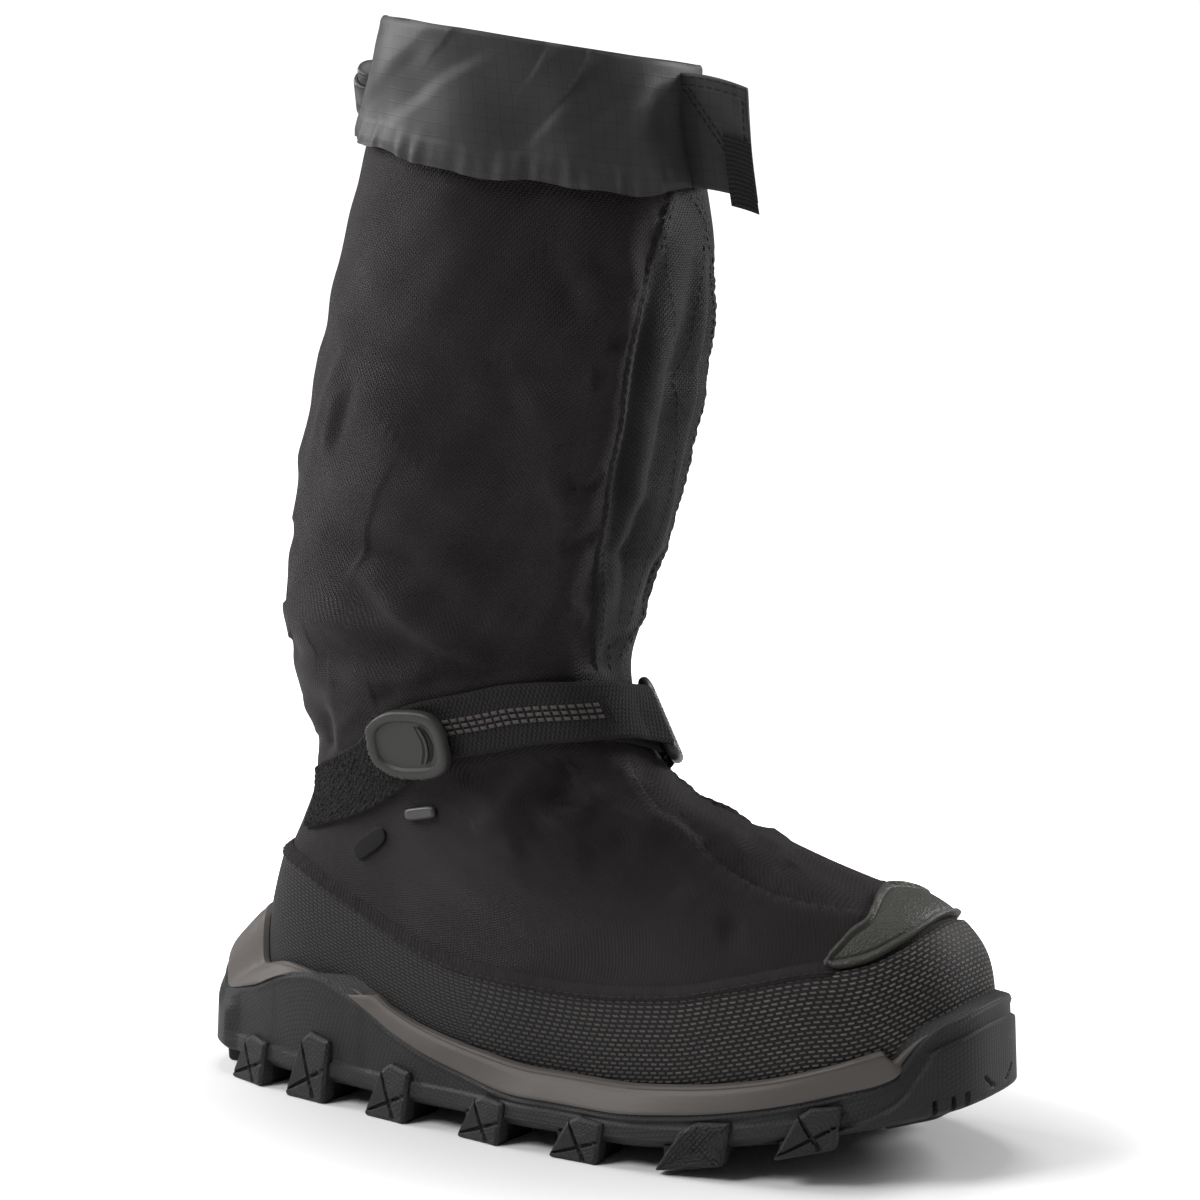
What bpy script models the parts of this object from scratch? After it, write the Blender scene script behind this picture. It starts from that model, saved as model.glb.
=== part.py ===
"""Winter overshoe for the right foot: lugged rubber outsole, foam midsole, tall cloth upper with a mesh rand,
cuff, ankle strap and toe guard. Metres, +Z up, +X to the toe, -Y the outer side of the foot.
"""
import math

import bmesh
import bpy
from mathutils import Vector

mm = 0.001

# Driving sizes of the whole overshoe
sole_length = 314 * mm
ball_width = 127 * mm
boot_height = 396 * mm
sidewall_height = 60 * mm

# Walls and gaps
upper_wall = 1.8 * mm
rand_wall = 1.6 * mm
cuff_wall = 1.6 * mm
seat_gap = 0.3 * mm
cloth_gap = 0.5 * mm

# Sole layers
lug_depth = 8 * mm
outsole_floor = 4.5 * mm
midsole_floor = 8.5 * mm
outsole_wall = 2.8 * mm
outsole_draft = 1.2 * mm
outsole_chamfer = 2.5 * mm
midsole_proud = 1.0 * mm
midsole_lip = 1.5 * mm
midsole_rim = 2.6 * mm
insole_thickness = 4.0 * mm
insole_clearance = 0.8 * mm

# Toe spring: the tread leaves the floor at this share of the length
toe_spring = 24 * mm
spring_start = 0.64
spring_power = 1.35
spring_thinning = 0.75

# Tread
side_lug_proud = 3.2 * mm
side_lug_sunk = 1.5 * mm
tread_lug_reach = 20 * mm
tread_overlap = 1.2 * mm
kick_plate_proud = 3.8 * mm
bumper_proud = 1.6 * mm
bumper_slit_width = 2.2 * mm
bumper_slit_depth = 2.4 * mm
centre_lug_length = 17 * mm

# Cuff, its closing flap and the tape on the flap
cuff_height = 42 * mm
cuff_front_share = 0.96
cuff_overlap = 10 * mm
hem_height = 14 * mm
hem_step = 0.9 * mm
flap_reach = 24 * mm
flap_droop = 5 * mm
flap_thickness = 2.6 * mm
flap_swing = 18
tape_width = 9 * mm
tape_height = 22 * mm
tape_thickness = 1.8 * mm

# Ankle strap and its fittings
strap_width = 24 * mm
strap_thickness = 1.7 * mm
loop_turn = 0.550
loop_bar = 3.0 * mm
loop_width = 15 * mm
loop_height = 32 * mm
loop_lift = 1.0 * mm
loop_clearance = 0.4 * mm
pull_tab_length = 31 * mm
pull_tab_width = 26 * mm
pull_tab_thickness = 4.2 * mm
pull_tab_rim = 4.0 * mm
pull_tab_recess = 1.2 * mm
patch_thickness = 1.5 * mm
label_length = 17 * mm
label_width = 7 * mm
label_thickness = 1.2 * mm
bar_length = 15 * mm
bar_width = 4.5 * mm
bar_thickness = 2.2 * mm

# Toe guard
guard_thickness = 2.0 * mm
guard_rim_width = 2.6 * mm
guard_rim_height = 1.0 * mm
guard_gap = 0.6 * mm
guard_start = 0.386

# Cord lock
lock_radius = 6.5 * mm
lock_height = 15 * mm
lock_wall = 1.5 * mm
button_height = 9 * mm
button_depth = 4 * mm
lock_tilt = 32
lock_height_share = 0.20

# Mesh fineness
around = 44
turn = 2 * math.pi

footbed_height = lug_depth + outsole_floor + midsole_floor
rand_out = cloth_gap + rand_wall
strap_out = cloth_gap + strap_thickness / 2


# Sections of the upper, heel to toe, from the feather line up to the rim of the cuff. back and front are shares of
# sole_length from the middle; back_up and front_up are shares of the rise from the footbed to boot_height; the six
# half widths are shares of ball_width at the rear, middle and fore of the section, outer (lat) and inner (med)
# side; round_rear and round_fore are the corner powers, lower for a squarer end.
section_columns = ("back", "front", "back_up", "front_up", "lat_rear", "lat_mid", "lat_fore",
                   "med_rear", "med_mid", "med_fore", "round_rear", "round_fore")
section_rows = (
    (-0.424, 0.455, 0.000, 0.000, 0.330, 0.385, 0.425, 0.300, 0.282, 0.390, 0.62, 0.62),
    (-0.431, 0.469, 0.050, 0.050, 0.345, 0.410, 0.455, 0.310, 0.300, 0.420, 0.62, 0.62),
    (-0.431, 0.467, 0.100, 0.108, 0.325, 0.390, 0.440, 0.300, 0.325, 0.410, 0.64, 0.64),
    (-0.425, 0.452, 0.135, 0.148, 0.305, 0.370, 0.390, 0.285, 0.320, 0.365, 0.66, 0.68),
    (-0.413, 0.420, 0.172, 0.177, 0.285, 0.345, 0.330, 0.270, 0.310, 0.310, 0.68, 0.76),
    (-0.396, 0.364, 0.205, 0.194, 0.270, 0.325, 0.270, 0.260, 0.300, 0.250, 0.70, 0.86),
    (-0.381, 0.291, 0.238, 0.212, 0.262, 0.305, 0.235, 0.255, 0.290, 0.215, 0.72, 0.94),
    (-0.377, 0.204, 0.270, 0.236, 0.265, 0.295, 0.230, 0.260, 0.285, 0.210, 0.74, 0.96),
    (-0.381, 0.114, 0.302, 0.257, 0.285, 0.300, 0.245, 0.280, 0.295, 0.230, 0.78, 0.92),
    (-0.393, 0.048, 0.338, 0.303, 0.320, 0.318, 0.280, 0.315, 0.318, 0.270, 0.82, 0.84),
    (-0.404, 0.018, 0.372, 0.352, 0.355, 0.345, 0.310, 0.350, 0.340, 0.305, 0.86, 0.74),
    (-0.406, 0.012, 0.408, 0.402, 0.375, 0.370, 0.335, 0.370, 0.365, 0.330, 0.88, 0.66),
    (-0.398, 0.035, 0.450, 0.450, 0.390, 0.390, 0.355, 0.385, 0.385, 0.350, 0.90, 0.62),
    (-0.390, 0.057, 0.504, 0.509, 0.410, 0.415, 0.380, 0.405, 0.410, 0.375, 0.90, 0.62),
    (-0.379, 0.078, 0.571, 0.579, 0.430, 0.440, 0.400, 0.425, 0.435, 0.395, 0.90, 0.62),
    (-0.361, 0.097, 0.643, 0.651, 0.445, 0.455, 0.415, 0.440, 0.450, 0.410, 0.90, 0.62),
    (-0.337, 0.107, 0.717, 0.723, 0.450, 0.460, 0.420, 0.445, 0.455, 0.415, 0.90, 0.64),
    (-0.309, 0.107, 0.797, 0.792, 0.445, 0.455, 0.415, 0.440, 0.450, 0.410, 0.88, 0.66),
    (-0.285, 0.097, 0.864, 0.845, 0.435, 0.445, 0.405, 0.430, 0.440, 0.400, 0.86, 0.70),
    (-0.262, 0.089, 0.932, 0.892, 0.425, 0.435, 0.395, 0.420, 0.430, 0.390, 0.86, 0.72),
    (-0.246, 0.084, 1.000, 0.948, 0.420, 0.430, 0.390, 0.415, 0.425, 0.385, 0.86, 0.74),
)
sections = [dict(zip(section_columns, row)) for row in section_rows]
last_row = len(sections) - 1
rim_v = float(last_row)
sole_rows = 4

# Outline of the sole from above: place along the length, outer and inner half width as shares of ball_width.
outline_rows = (
    (0.00, 0.385, 0.370),
    (0.22, 0.405, 0.375),
    (0.38, 0.440, 0.380),
    (0.52, 0.485, 0.395),
    (0.66, 0.515, 0.440),
    (0.78, 0.520, 0.470),
    (0.90, 0.500, 0.480),
    (1.00, 0.475, 0.455),
)
outline_power = 0.66

# Heights round one side as (share of a turn from the heel, share of sidewall_height); the other side mirrors them.
outsole_edge = (
    (0.000, 0.75), (0.030, 0.64), (0.045, 0.52), (0.090, 0.60), (0.125, 0.75), (0.142, 0.78), (0.158, 0.72),
    (0.175, 0.62), (0.190, 0.52), (0.220, 0.38), (0.250, 0.31), (0.285, 0.31), (0.317, 0.35), (0.354, 0.44),
    (0.390, 0.55), (0.418, 0.64), (0.436, 0.84), (0.455, 0.94), (0.500, 1.00),
)
midsole_edge = (
    (0.000, 1.03), (0.025, 0.98), (0.050, 0.72), (0.090, 0.78), (0.125, 0.75), (0.160, 0.70), (0.190, 0.60),
    (0.220, 0.53), (0.250, 0.48), (0.285, 0.48), (0.317, 0.52), (0.354, 0.60), (0.390, 0.71), (0.430, 0.82),
    (0.500, 0.86),
)

# The next lines are heights above the floor as shares of the rise from the footbed to boot_height; the strap's own
# line runs the whole turn, and the others are mirrored.
rand_line = (
    (0.000, 0.170), (0.067, 0.163), (0.129, 0.140), (0.171, 0.116), (0.210, 0.100), (0.258, 0.096), (0.308, 0.106),
    (0.338, 0.120), (0.379, 0.136), (0.409, 0.138), (0.438, 0.151), (0.500, 0.160),
)
strap_line = (
    (0.000, 0.222), (0.050, 0.226), (0.100, 0.242), (0.150, 0.266), (0.200, 0.294), (0.260, 0.322), (0.310, 0.334),
    (0.360, 0.344), (0.410, 0.348), (0.450, 0.342), (0.480, 0.332), (0.500, 0.320), (0.525, 0.310), (0.580, 0.296),
    (0.660, 0.280), (0.800, 0.262), (0.900, 0.242), (1.000, 0.222),
)
guard_low_line = ((0.386, 0.144), (0.409, 0.146), (0.438, 0.163), (0.480, 0.171), (0.500, 0.173))
guard_high_line = ((0.386, 0.156), (0.409, 0.174), (0.455, 0.192), (0.500, 0.200))

# Main folds of the cloth: round is the share of a turn from the heel over the outer side and up the share of the
# rise; lean is the slope in degrees; long and wide are half sizes as shares of ball_width; depth is a share of
# upper_wall, below zero for a trough.
fold_columns = ("round", "up", "lean", "long", "wide", "depth")
fold_rows = (
    (0.460, 0.62, 88, 1.30, 0.080, -1.9),
    (0.415, 0.62, 84, 1.40, 0.070, 1.1),
    (0.300, 0.47, 125, 0.55, 0.095, 1.7),
    (0.240, 0.42, 128, 0.50, 0.090, -1.6),
    (0.330, 0.58, 130, 0.35, 0.080, -1.3),
    (0.120, 0.46, 160, 0.45, 0.095, 1.4),
    (0.640, 0.49, 55, 0.55, 0.095, 1.6),
    (0.700, 0.44, 50, 0.50, 0.090, -1.5),
    (0.860, 0.46, 20, 0.45, 0.095, 1.4),
)
folds = [dict(zip(fold_columns, row)) for row in fold_rows]

# Side lugs from heel to toe: x of the middle and width at the floor as shares of sole_length, height as a share of
# sidewall_height, and slant, how far the top leans to the toe as a share of the lug's width.
side_lug_columns = ("x", "width", "height", "slant")
side_lug_rows = (
    (-0.418, 0.062, 0.27, 0.18),
    (-0.317, 0.064, 0.38, 0.30),
    (-0.191, 0.064, 0.31, 0.26),
    (-0.052, 0.064, 0.25, 0.20),
    (0.080, 0.066, 0.24, 0.16),
    (0.225, 0.082, 0.24, 0.10),
    (0.351, 0.070, 0.24, 0.10),
)
side_lugs = [dict(zip(side_lug_columns, row)) for row in side_lug_rows]

# Lugs of the middle of the tread: x as a share of sole_length, half width as a share of ball_width.
centre_lug_rows = (
    (-0.370, 0.13), (-0.262, 0.15), (-0.130, 0.13), (-0.010, 0.14),
    (0.100, 0.20), (0.205, 0.24), (0.300, 0.22),
)

# Small fittings at the heel: share of the turn, share of the height over the footbed, and roll in degrees.
fitting_places = {
    "strap_pull_tab": (0.242, 0.312, 12),
    "strap_bar": (0.188, 0.238, 16),
    "strap_label": (0.140, 0.198, 38),
}

# Colours of the finishes
cloth_black = (0.020, 0.017, 0.019)
cuff_grey = (0.052, 0.049, 0.049)
mesh_grey = (0.040, 0.036, 0.038)
rubber_grey = (0.030, 0.031, 0.033)
foam_taupe = (0.125, 0.108, 0.098)
guard_grey = (0.070, 0.067, 0.060)
plastic_grey = (0.045, 0.045, 0.047)


def catmull(a, b, c, d, t):
    """Smooth value between b and c, with a and d beyond them."""
    return b + 0.5 * t * (c - a + t * (2 * a - 5 * b + 4 * c - d + t * (3 * (b - c) + d - a)))


def smooth(t):
    """0 to 1 with soft ends."""
    t = max(0.0, min(1.0, t))
    return t * t * (3 - 2 * t)


def blend(stations, t):
    """Soft curve through (place, value) pairs, flat past the ends."""
    if t <= stations[0][0]:
        return stations[0][1]
    for (t0, v0), (t1, v1) in zip(stations, stations[1:]):
        if t <= t1:
            return v0 + (v1 - v0) * smooth((t - t0) / (t1 - t0))
    return stations[-1][1]


def side_share(angle):
    """Share of a turn from the heel, 0 to a half, the same on both sides."""
    share = (angle / turn) % 1.0
    return min(share, 1.0 - share)


def spring_share(x):
    """0 where the tread leaves the floor, 1 at the tip of the toe."""
    return max(0.0, (x / sole_length + 0.5 - spring_start) / (1 - spring_start))


def tread_at(x):
    """Height of the tread at x."""
    return toe_spring * spring_share(x) ** spring_power


def bottom_at(x):
    """Height of the outsole's underside between the lugs."""
    return tread_at(x) + lug_depth * (1 - spring_thinning * spring_share(x))


def floor_at(x):
    """Height of the outsole's inner floor."""
    return bottom_at(x) + outsole_floor


def footbed_at(x):
    """Height of the footbed, the top of the midsole's floor."""
    return floor_at(x) + midsole_floor * (1 - spring_thinning * spring_share(x))


def section_at(v):
    """The section row at a place v between the rows of the table."""
    v = max(0.0, min(rim_v, v))
    i = min(int(v), last_row - 1)
    near = [sections[max(0, min(last_row, i + k))] for k in (-1, 0, 1, 2)]
    return {c: catmull(*(row[c] for row in near), v - i) for c in section_columns}


def bare_surface(angle, v):
    """Point of the upper's smooth outer face; angle 0 is the heel, half a turn the toe, outer side first."""
    s = section_at(v)
    rise = boot_height - footbed_height
    t = (1 - math.cos(angle)) / 2
    x = sole_length * (s["back"] + (s["front"] - s["back"]) * t)
    z = footbed_height + rise * (s["back_up"] + (s["front_up"] - s["back_up"]) * t)
    z += (footbed_at(x) - footbed_height) * (1 - smooth(v / sole_rows))
    side = "lat" if math.sin(angle) >= 0 else "med"
    width = blend(((0.12, s[side + "_rear"]), (0.48, s[side + "_mid"]), (0.78, s[side + "_fore"])), t)
    power = s["round_rear"] + (s["round_fore"] - s["round_rear"]) * smooth(t)
    y = ball_width * width * abs(math.sin(angle)) ** power
    return Vector((x, -y if side == "lat" else y, z))


def height_of(line, angle):
    """Height above the floor of a mirrored line given as shares of the rise."""
    return footbed_height + (boot_height - footbed_height) * blend(line, side_share(angle))


def strap_height(angle):
    """Height above the floor of the middle of the ankle strap."""
    return footbed_height + (boot_height - footbed_height) * blend(strap_line, (angle / turn) % 1.0)


def fold_height(angle, point):
    """How far the folds push the cloth out; the strap holds the cloth flat."""
    rise = boot_height - footbed_height
    share = (angle / turn) % 1.0
    up = (point.z - footbed_height) / rise
    above_strap = (point.z - strap_height(angle)) / strap_width
    loose = smooth(above_strap - 0.6) * smooth((0.84 - up) / 0.08)
    pushed = 0.0
    for f in folds:
        run = ((share - f["round"] + 0.5) % 1.0 - 0.5) * math.pi * ball_width
        climb = (up - f["up"]) * rise
        lean = math.radians(f["lean"])
        along = (run * math.cos(lean) + climb * math.sin(lean)) / (f["long"] * ball_width)
        across = (climb * math.cos(lean) - run * math.sin(lean)) / (f["wide"] * ball_width)
        pushed += f["depth"] * math.exp(-along * along - across * across)
    return pushed * loose * upper_wall


def normal_at(angle, v):
    """Outward direction of the smooth face."""
    da, dv = 0.02, 0.05
    along = bare_surface(angle + da, v) - bare_surface(angle - da, v)
    up = bare_surface(angle, min(rim_v, v + dv)) - bare_surface(angle, max(0.0, v - dv))
    return along.cross(up).normalized()


def skin(angle, v, out=0.0):
    """Point that stands out from the folded face of the upper by out; the feather line lies on the footbed."""
    bare = bare_surface(angle, v)
    point = bare + normal_at(angle, v) * (out + fold_height(angle, bare))
    if v <= 0.0:
        point.z = footbed_at(point.x)
    return point


def v_at_height(angle, z):
    """Place v on the upper where the smooth face reaches a height at an angle."""
    low, high = 0.0, rim_v
    for _ in range(26):
        middle = (low + high) / 2
        if bare_surface(angle, middle).z < z:
            low = middle
        else:
            high = middle
    return (low + high) / 2


def outsole_top(angle):
    """Height of the outsole's wall."""
    return sidewall_height * blend(outsole_edge, side_share(angle))


def midsole_top(angle):
    """Height of the midsole's wall, always a lip above the outsole's."""
    return max(sidewall_height * blend(midsole_edge, side_share(angle)), outsole_top(angle) + midsole_lip)


def cuff_foot(angle):
    """Height of the cuff's lower edge."""
    t = (1 - math.cos(angle)) / 2
    return bare_surface(angle, rim_v).z - cuff_height * (1 - (1 - cuff_front_share) * t)


def knots(angle):
    """Places v of the lines that the upper's rows follow, from the feather line to the collar."""
    strap_middle = strap_height(angle)
    middle_v = v_at_height(angle, strap_middle)
    climb = bare_surface(angle, middle_v + 0.2) - bare_surface(angle, middle_v - 0.2)
    half_band = strap_width / 2 * climb.z / climb.length
    rand_top = v_at_height(angle, height_of(rand_line, angle))
    strap_low = max(v_at_height(angle, strap_middle - half_band), rand_top + 0.15)
    return (
        0.0,
        v_at_height(angle, midsole_top(angle)),
        rand_top,
        strap_low,
        v_at_height(angle, strap_middle + half_band),
        v_at_height(angle, cuff_foot(angle)),
        v_at_height(angle, cuff_foot(angle) + cuff_overlap),
    )


# Rows of the upper between one knot and the next
knot_steps = (2, 3, 7, 2, 9, 1)
midsole_row = knot_steps[0]
rand_row = midsole_row + knot_steps[1]
strap_row = rand_row + knot_steps[2]


def column(angle):
    """Places v of all rows of the upper at an angle."""
    places = knots(angle)
    rows = [places[0]]
    for start, end, steps in zip(places, places[1:], knot_steps):
        rows += [start + (end - start) * (k + 1) / steps for k in range(steps)]
    return rows


angles = [turn * i / around for i in range(around)]


def ring_of(function):
    """One point at each angle of the ring."""
    return [function(angle) for angle in angles]


def make_object(name, points, faces, finish):
    """Mesh object from points and faces, with one material, facing out."""
    mesh = bpy.data.meshes.new(name)
    split = []
    for face in faces:
        split += [(face[0], face[k], face[k + 1]) for k in range(1, len(face) - 1)]
    mesh.from_pydata([tuple(p) for p in points], [], split)
    bm = bmesh.new()
    bm.from_mesh(mesh)
    bmesh.ops.recalc_face_normals(bm, faces=bm.faces)
    bm.to_mesh(mesh)
    bm.free()
    mesh.shade_smooth()
    mesh.set_sharp_from_angle(angle=math.radians(35))
    if finish:
        mesh.materials.append(finish)
    obj = bpy.data.objects.new(name, mesh)
    bpy.context.scene.collection.objects.link(obj)
    return obj


def rows_of_quads(row_count, width, closed, start=0):
    """Faces between rows of points that follow each other in the list."""
    faces = []
    for r in range(row_count - 1):
        for i in range(width if closed else width - 1):
            j = (i + 1) % width
            a, b = start + r * width + i, start + r * width + j
            faces.append((a, b, b + width, a + width))
    return faces


def shell(name, outer, inner, closed, finish):
    """Solid wall between two grids of points with the same rows and columns."""
    rows, width = len(outer), len(outer[0])
    points = [p for row in outer for p in row] + [p for row in inner for p in row]
    half = rows * width
    faces = rows_of_quads(rows, width, closed) + rows_of_quads(rows, width, closed, half)
    last = (rows - 1) * width
    for i in range(width if closed else width - 1):
        j = (i + 1) % width
        faces.append((j, i, half + i, half + j))
        faces.append((last + i, last + j, half + last + j, half + last + i))
    if not closed:
        for r in range(rows - 1):
            for end in (0, width - 1):
                a = r * width + end
                faces.append((a, a + width, half + a + width, half + a))
    return make_object(name, points, faces, finish)


def cross_strips(start, count):
    """Faces that close a ring of points by strips from side to side."""
    faces = [(start, start + 1, start + count - 1)]
    for i in range(1, count // 2 - 1):
        faces.append((start + i, start + i + 1, start + count - i - 1, start + count - i))
    middle = count // 2
    faces.append((start + middle - 1, start + middle, start + middle + 1))
    return faces


def stacked_rings(name, rings, finish):
    """Closed solid from rings joined one after another; the first and last ring are closed across."""
    count = len(rings[0])
    points = [p for ring in rings for p in ring]
    faces = rows_of_quads(len(rings), count, True)
    faces += cross_strips(0, count)
    faces += cross_strips((len(rings) - 1) * count, count)
    return make_object(name, points, faces, finish)


def finish_of(name, colour, roughness, metallic=0.0):
    """Principled material of one colour."""
    made = bpy.data.materials.new(name)
    made.use_nodes = True
    shader = made.node_tree.nodes["Principled BSDF"]
    shader.inputs["Base Color"].default_value = (*colour, 1.0)
    shader.inputs["Roughness"].default_value = roughness
    shader.inputs["Metallic"].default_value = metallic
    made.diffuse_color = (*colour, 1.0)
    return made


def sole_plan(angle, inset, z):
    """Point of the sole's outline, moved in by inset, at a height."""
    t = (1 - math.cos(angle)) / 2
    side = 1 if math.sin(angle) >= 0 else 2
    width = blend([(row[0], row[side]) for row in outline_rows], t)
    x = -math.cos(angle) * (sole_length / 2 - inset)
    y = (ball_width * width - inset) * abs(math.sin(angle)) ** outline_power
    return Vector((x, -y if side == 1 else y, z))


def plate_step(angle):
    """How far the heel's kick plate and the toe's bumper plate stand proud of the wall."""
    share = side_share(angle)
    kick = kick_plate_proud * smooth((0.075 - share) / 0.025)
    bumper = bumper_proud * smooth((share - 0.40) / 0.02)
    return kick + bumper


def wall_point(angle, share, inset):
    """Point of the outsole's outer wall at a share of its height."""
    foot = bottom_at(-math.cos(angle) * sole_length / 2)
    return sole_plan(angle, inset, foot + (outsole_top(angle) - foot) * share)


def outer_y(x, side):
    """y of the sole's outline at x; side is 1 on the outer side and -1 on the inner side."""
    angle = math.acos(max(-1.0, min(1.0, -2 * x / sole_length)))
    return sole_plan(angle if side > 0 else turn - angle, 0.0, 0.0).y


def prism(points_low, points_high):
    """Points and faces of a solid between two loops of the same length."""
    count = len(points_low)
    points = list(points_low) + list(points_high)
    faces = [tuple(range(count)), tuple(range(2 * count - 1, count - 1, -1))]
    faces += [(i, (i + 1) % count, count + (i + 1) % count, count + i) for i in range(count)]
    return points, faces


def join_solid(target, name, prisms, operation="UNION"):
    """Joins loose prisms to a solid, or cuts them from it."""
    points, faces = [], []
    for prism_points, prism_faces in prisms:
        start = len(points)
        points += prism_points
        faces += [tuple(start + i for i in face) for face in prism_faces]
    tool = make_object(name, points, faces, None)
    tool.hide_render = True
    tool.display_type = "WIRE"
    change = target.modifiers.new(name, "BOOLEAN")
    change.operation = operation
    change.solver = "EXACT"
    change.use_self = True
    change.object = tool
    return tool


def side_lug_frame(lug, side):
    """Foot of a side lug: its middle on the outline, its direction along the wall and its outward direction."""
    x = lug["x"] * sole_length
    step = sole_length / 200
    middle = Vector((x, outer_y(x, side), 0.0))
    along = Vector((2 * step, outer_y(x + step, side) - outer_y(x - step, side), 0.0)).normalized()
    out = Vector((along.y, -along.x, 0.0)) * side
    return middle, along, out


def side_lug_plate(lug, side):
    """Five-cornered plate of a side lug, standing proud of the wall."""
    middle, along, out = side_lug_frame(lug, side)
    width, height = lug["width"] * sole_length, lug["height"] * sidewall_height
    lean = lug["slant"] * width
    corners = ((-0.50, 0.0, 0.0), (0.48, 0.0, 0.0), (0.52, 0.55, 0.6), (0.10, 1.0, 1.0), (-0.24, 0.72, 0.8))
    low, high = [], []
    for across, up, leaning in corners:
        point = middle + along * (across * width + leaning * lean)
        point.z = tread_at(point.x) + up * height
        low.append(point - out * side_lug_sunk)
        high.append(point + out * side_lug_proud * (1.0 - 0.25 * up))
    return prism(low, high)


def tread_lug(lug, side):
    """Block of the tread behind a side lug's plate."""
    middle, along, out = side_lug_frame(lug, side)
    width = lug["width"] * sole_length
    low, high = [], []
    for across, inward in ((-0.45, 0.04), (0.43, 0.04), (0.30, 1.0), (-0.38, 1.0)):
        point = middle + along * across * width - out * inward * tread_lug_reach
        low.append(Vector((point.x, point.y, tread_at(point.x))))
        high.append(Vector((point.x, point.y, bottom_at(point.x) + tread_overlap)))
    return prism(low, high)


def centre_lug(x_share, half_share):
    """Arrow-shaped lug across the middle of the tread."""
    x = x_share * sole_length
    middle_y = (outer_y(x, 1) + outer_y(x, -1)) / 2
    half = half_share * ball_width
    arrow = centre_lug_length * 0.35
    low, high = [], []
    for dx, dy in ((-0.5, 0), (-0.5, 1), (0.5, 1), (0.5, 0), (0.5, -1), (-0.5, -1)):
        point_x = x + dx * centre_lug_length + (arrow if dy == 0 else 0.0)
        point_y = middle_y + dy * half
        low.append(Vector((point_x, point_y, tread_at(point_x))))
        high.append(Vector((point_x, point_y, bottom_at(point_x) + tread_overlap)))
    return prism(low, high)


def heel_lug():
    """Block at the middle of the heel's back edge, under the kick plate."""
    back = -sole_length / 2
    reach = tread_lug_reach * 0.8
    half = ball_width * 0.11
    top = bottom_at(back) + tread_overlap
    corners = ((back + 0.5 * mm, -half), (back + reach, -half * 0.8), (back + reach, half * 0.8),
               (back + 0.5 * mm, half))
    return prism([Vector((x, y, 0.0)) for x, y in corners], [Vector((x, y, top)) for x, y in corners])


def toe_lug():
    """Block under the tip of the toe."""
    front = sole_length * 0.455
    reach = tread_lug_reach * 0.9
    half = ball_width * 0.20
    low, high = [], []
    for x, y in ((front, -half * 0.7), (front - reach, -half), (front - reach, half), (front, half * 0.7)):
        low.append(Vector((x, y, tread_at(x))))
        high.append(Vector((x, y, bottom_at(x) + tread_overlap)))
    return prism(low, high)


def bumper_slit(share):
    """Upright slit cut into the lower edge of the toe's bumper plate."""
    angle = share * turn
    foot = sole_plan(angle, 0.0, 0.0)
    ahead = sole_plan(angle + 0.02, 0.0, 0.0)
    along = (ahead - foot).normalized()
    out = Vector((along.y, -along.x, 0.0))
    if out.dot(foot) < 0:
        out = -out
    base = bottom_at(foot.x) - 1 * mm
    top = base + sidewall_height * 0.17
    low, high = [], []
    for across, far in ((-0.5, -1), (0.5, -1), (0.5, 1), (-0.5, 1)):
        reach = out * (bumper_slit_depth if far > 0 else -bumper_slit_depth + bumper_proud)
        point = foot + along * across * bumper_slit_width + reach
        low.append(Vector((point.x, point.y, base)))
        high.append(Vector((point.x, point.y, top)))
    return prism(low, high)


def build_outsole(rubber):
    """Rubber cup with side wall, kick plate, toe bumper, side lugs and tread."""
    inner = outsole_draft + outsole_wall

    def cup_floor(angle):
        point = sole_plan(angle, inner, 0.0)
        point.z = floor_at(point.x)
        return point

    rings = [
        ring_of(lambda a: wall_point(a, 0.0, outsole_chamfer)),
        ring_of(lambda a: wall_point(a, 0.14, -plate_step(a))),
        ring_of(lambda a: wall_point(a, 0.62, -plate_step(a))),
        ring_of(lambda a: wall_point(a, 0.86, -plate_step(a) * 0.45)),
        ring_of(lambda a: wall_point(a, 1.0, outsole_draft)),
        ring_of(lambda a: wall_point(a, 1.0, inner)),
        ring_of(cup_floor),
    ]
    outsole = stacked_rings("outsole", rings, rubber)
    plates = [side_lug_plate(lug, side) for lug in side_lugs for side in (1, -1)]
    blocks = [tread_lug(lug, side) for lug in side_lugs for side in (1, -1)]
    blocks += [centre_lug(*row) for row in centre_lug_rows] + [heel_lug(), toe_lug()]
    join_solid(outsole, "tread_cutter", blocks)
    join_solid(outsole, "side_lug_cutter", plates)
    slits = [bumper_slit(share) for share in (0.422, 0.436, 0.450, 0.550, 0.564, 0.578)]
    join_solid(outsole, "slit_cutter", slits, "DIFFERENCE")
    return outsole


def build_midsole(foam):
    """Foam cup between the outsole and the upper, thick at the heel, with the footbed inside."""
    places = {angle: column(angle) for angle in angles}
    inset = outsole_draft + outsole_wall + seat_gap
    socket = rand_out + seat_gap

    def bottom(angle):
        point = sole_plan(angle, inset, 0.0)
        point.z = floor_at(point.x) + seat_gap
        return point

    def inner_row(row):
        return ring_of(lambda a: skin(a, places[a][row], socket))

    def footbed(angle):
        return skin(angle, 0.0, socket) - Vector((0.0, 0.0, seat_gap))

    rings = [
        ring_of(footbed),
        inner_row(1),
        inner_row(midsole_row),
        ring_of(lambda a: skin(a, places[a][midsole_row], socket + midsole_rim)),
        ring_of(lambda a: sole_plan(a, outsole_draft - midsole_proud, outsole_top(a) + seat_gap)),
        ring_of(lambda a: sole_plan(a, inset, outsole_top(a) + seat_gap)),
        ring_of(bottom),
    ]
    return stacked_rings("midsole", rings, foam)


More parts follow.
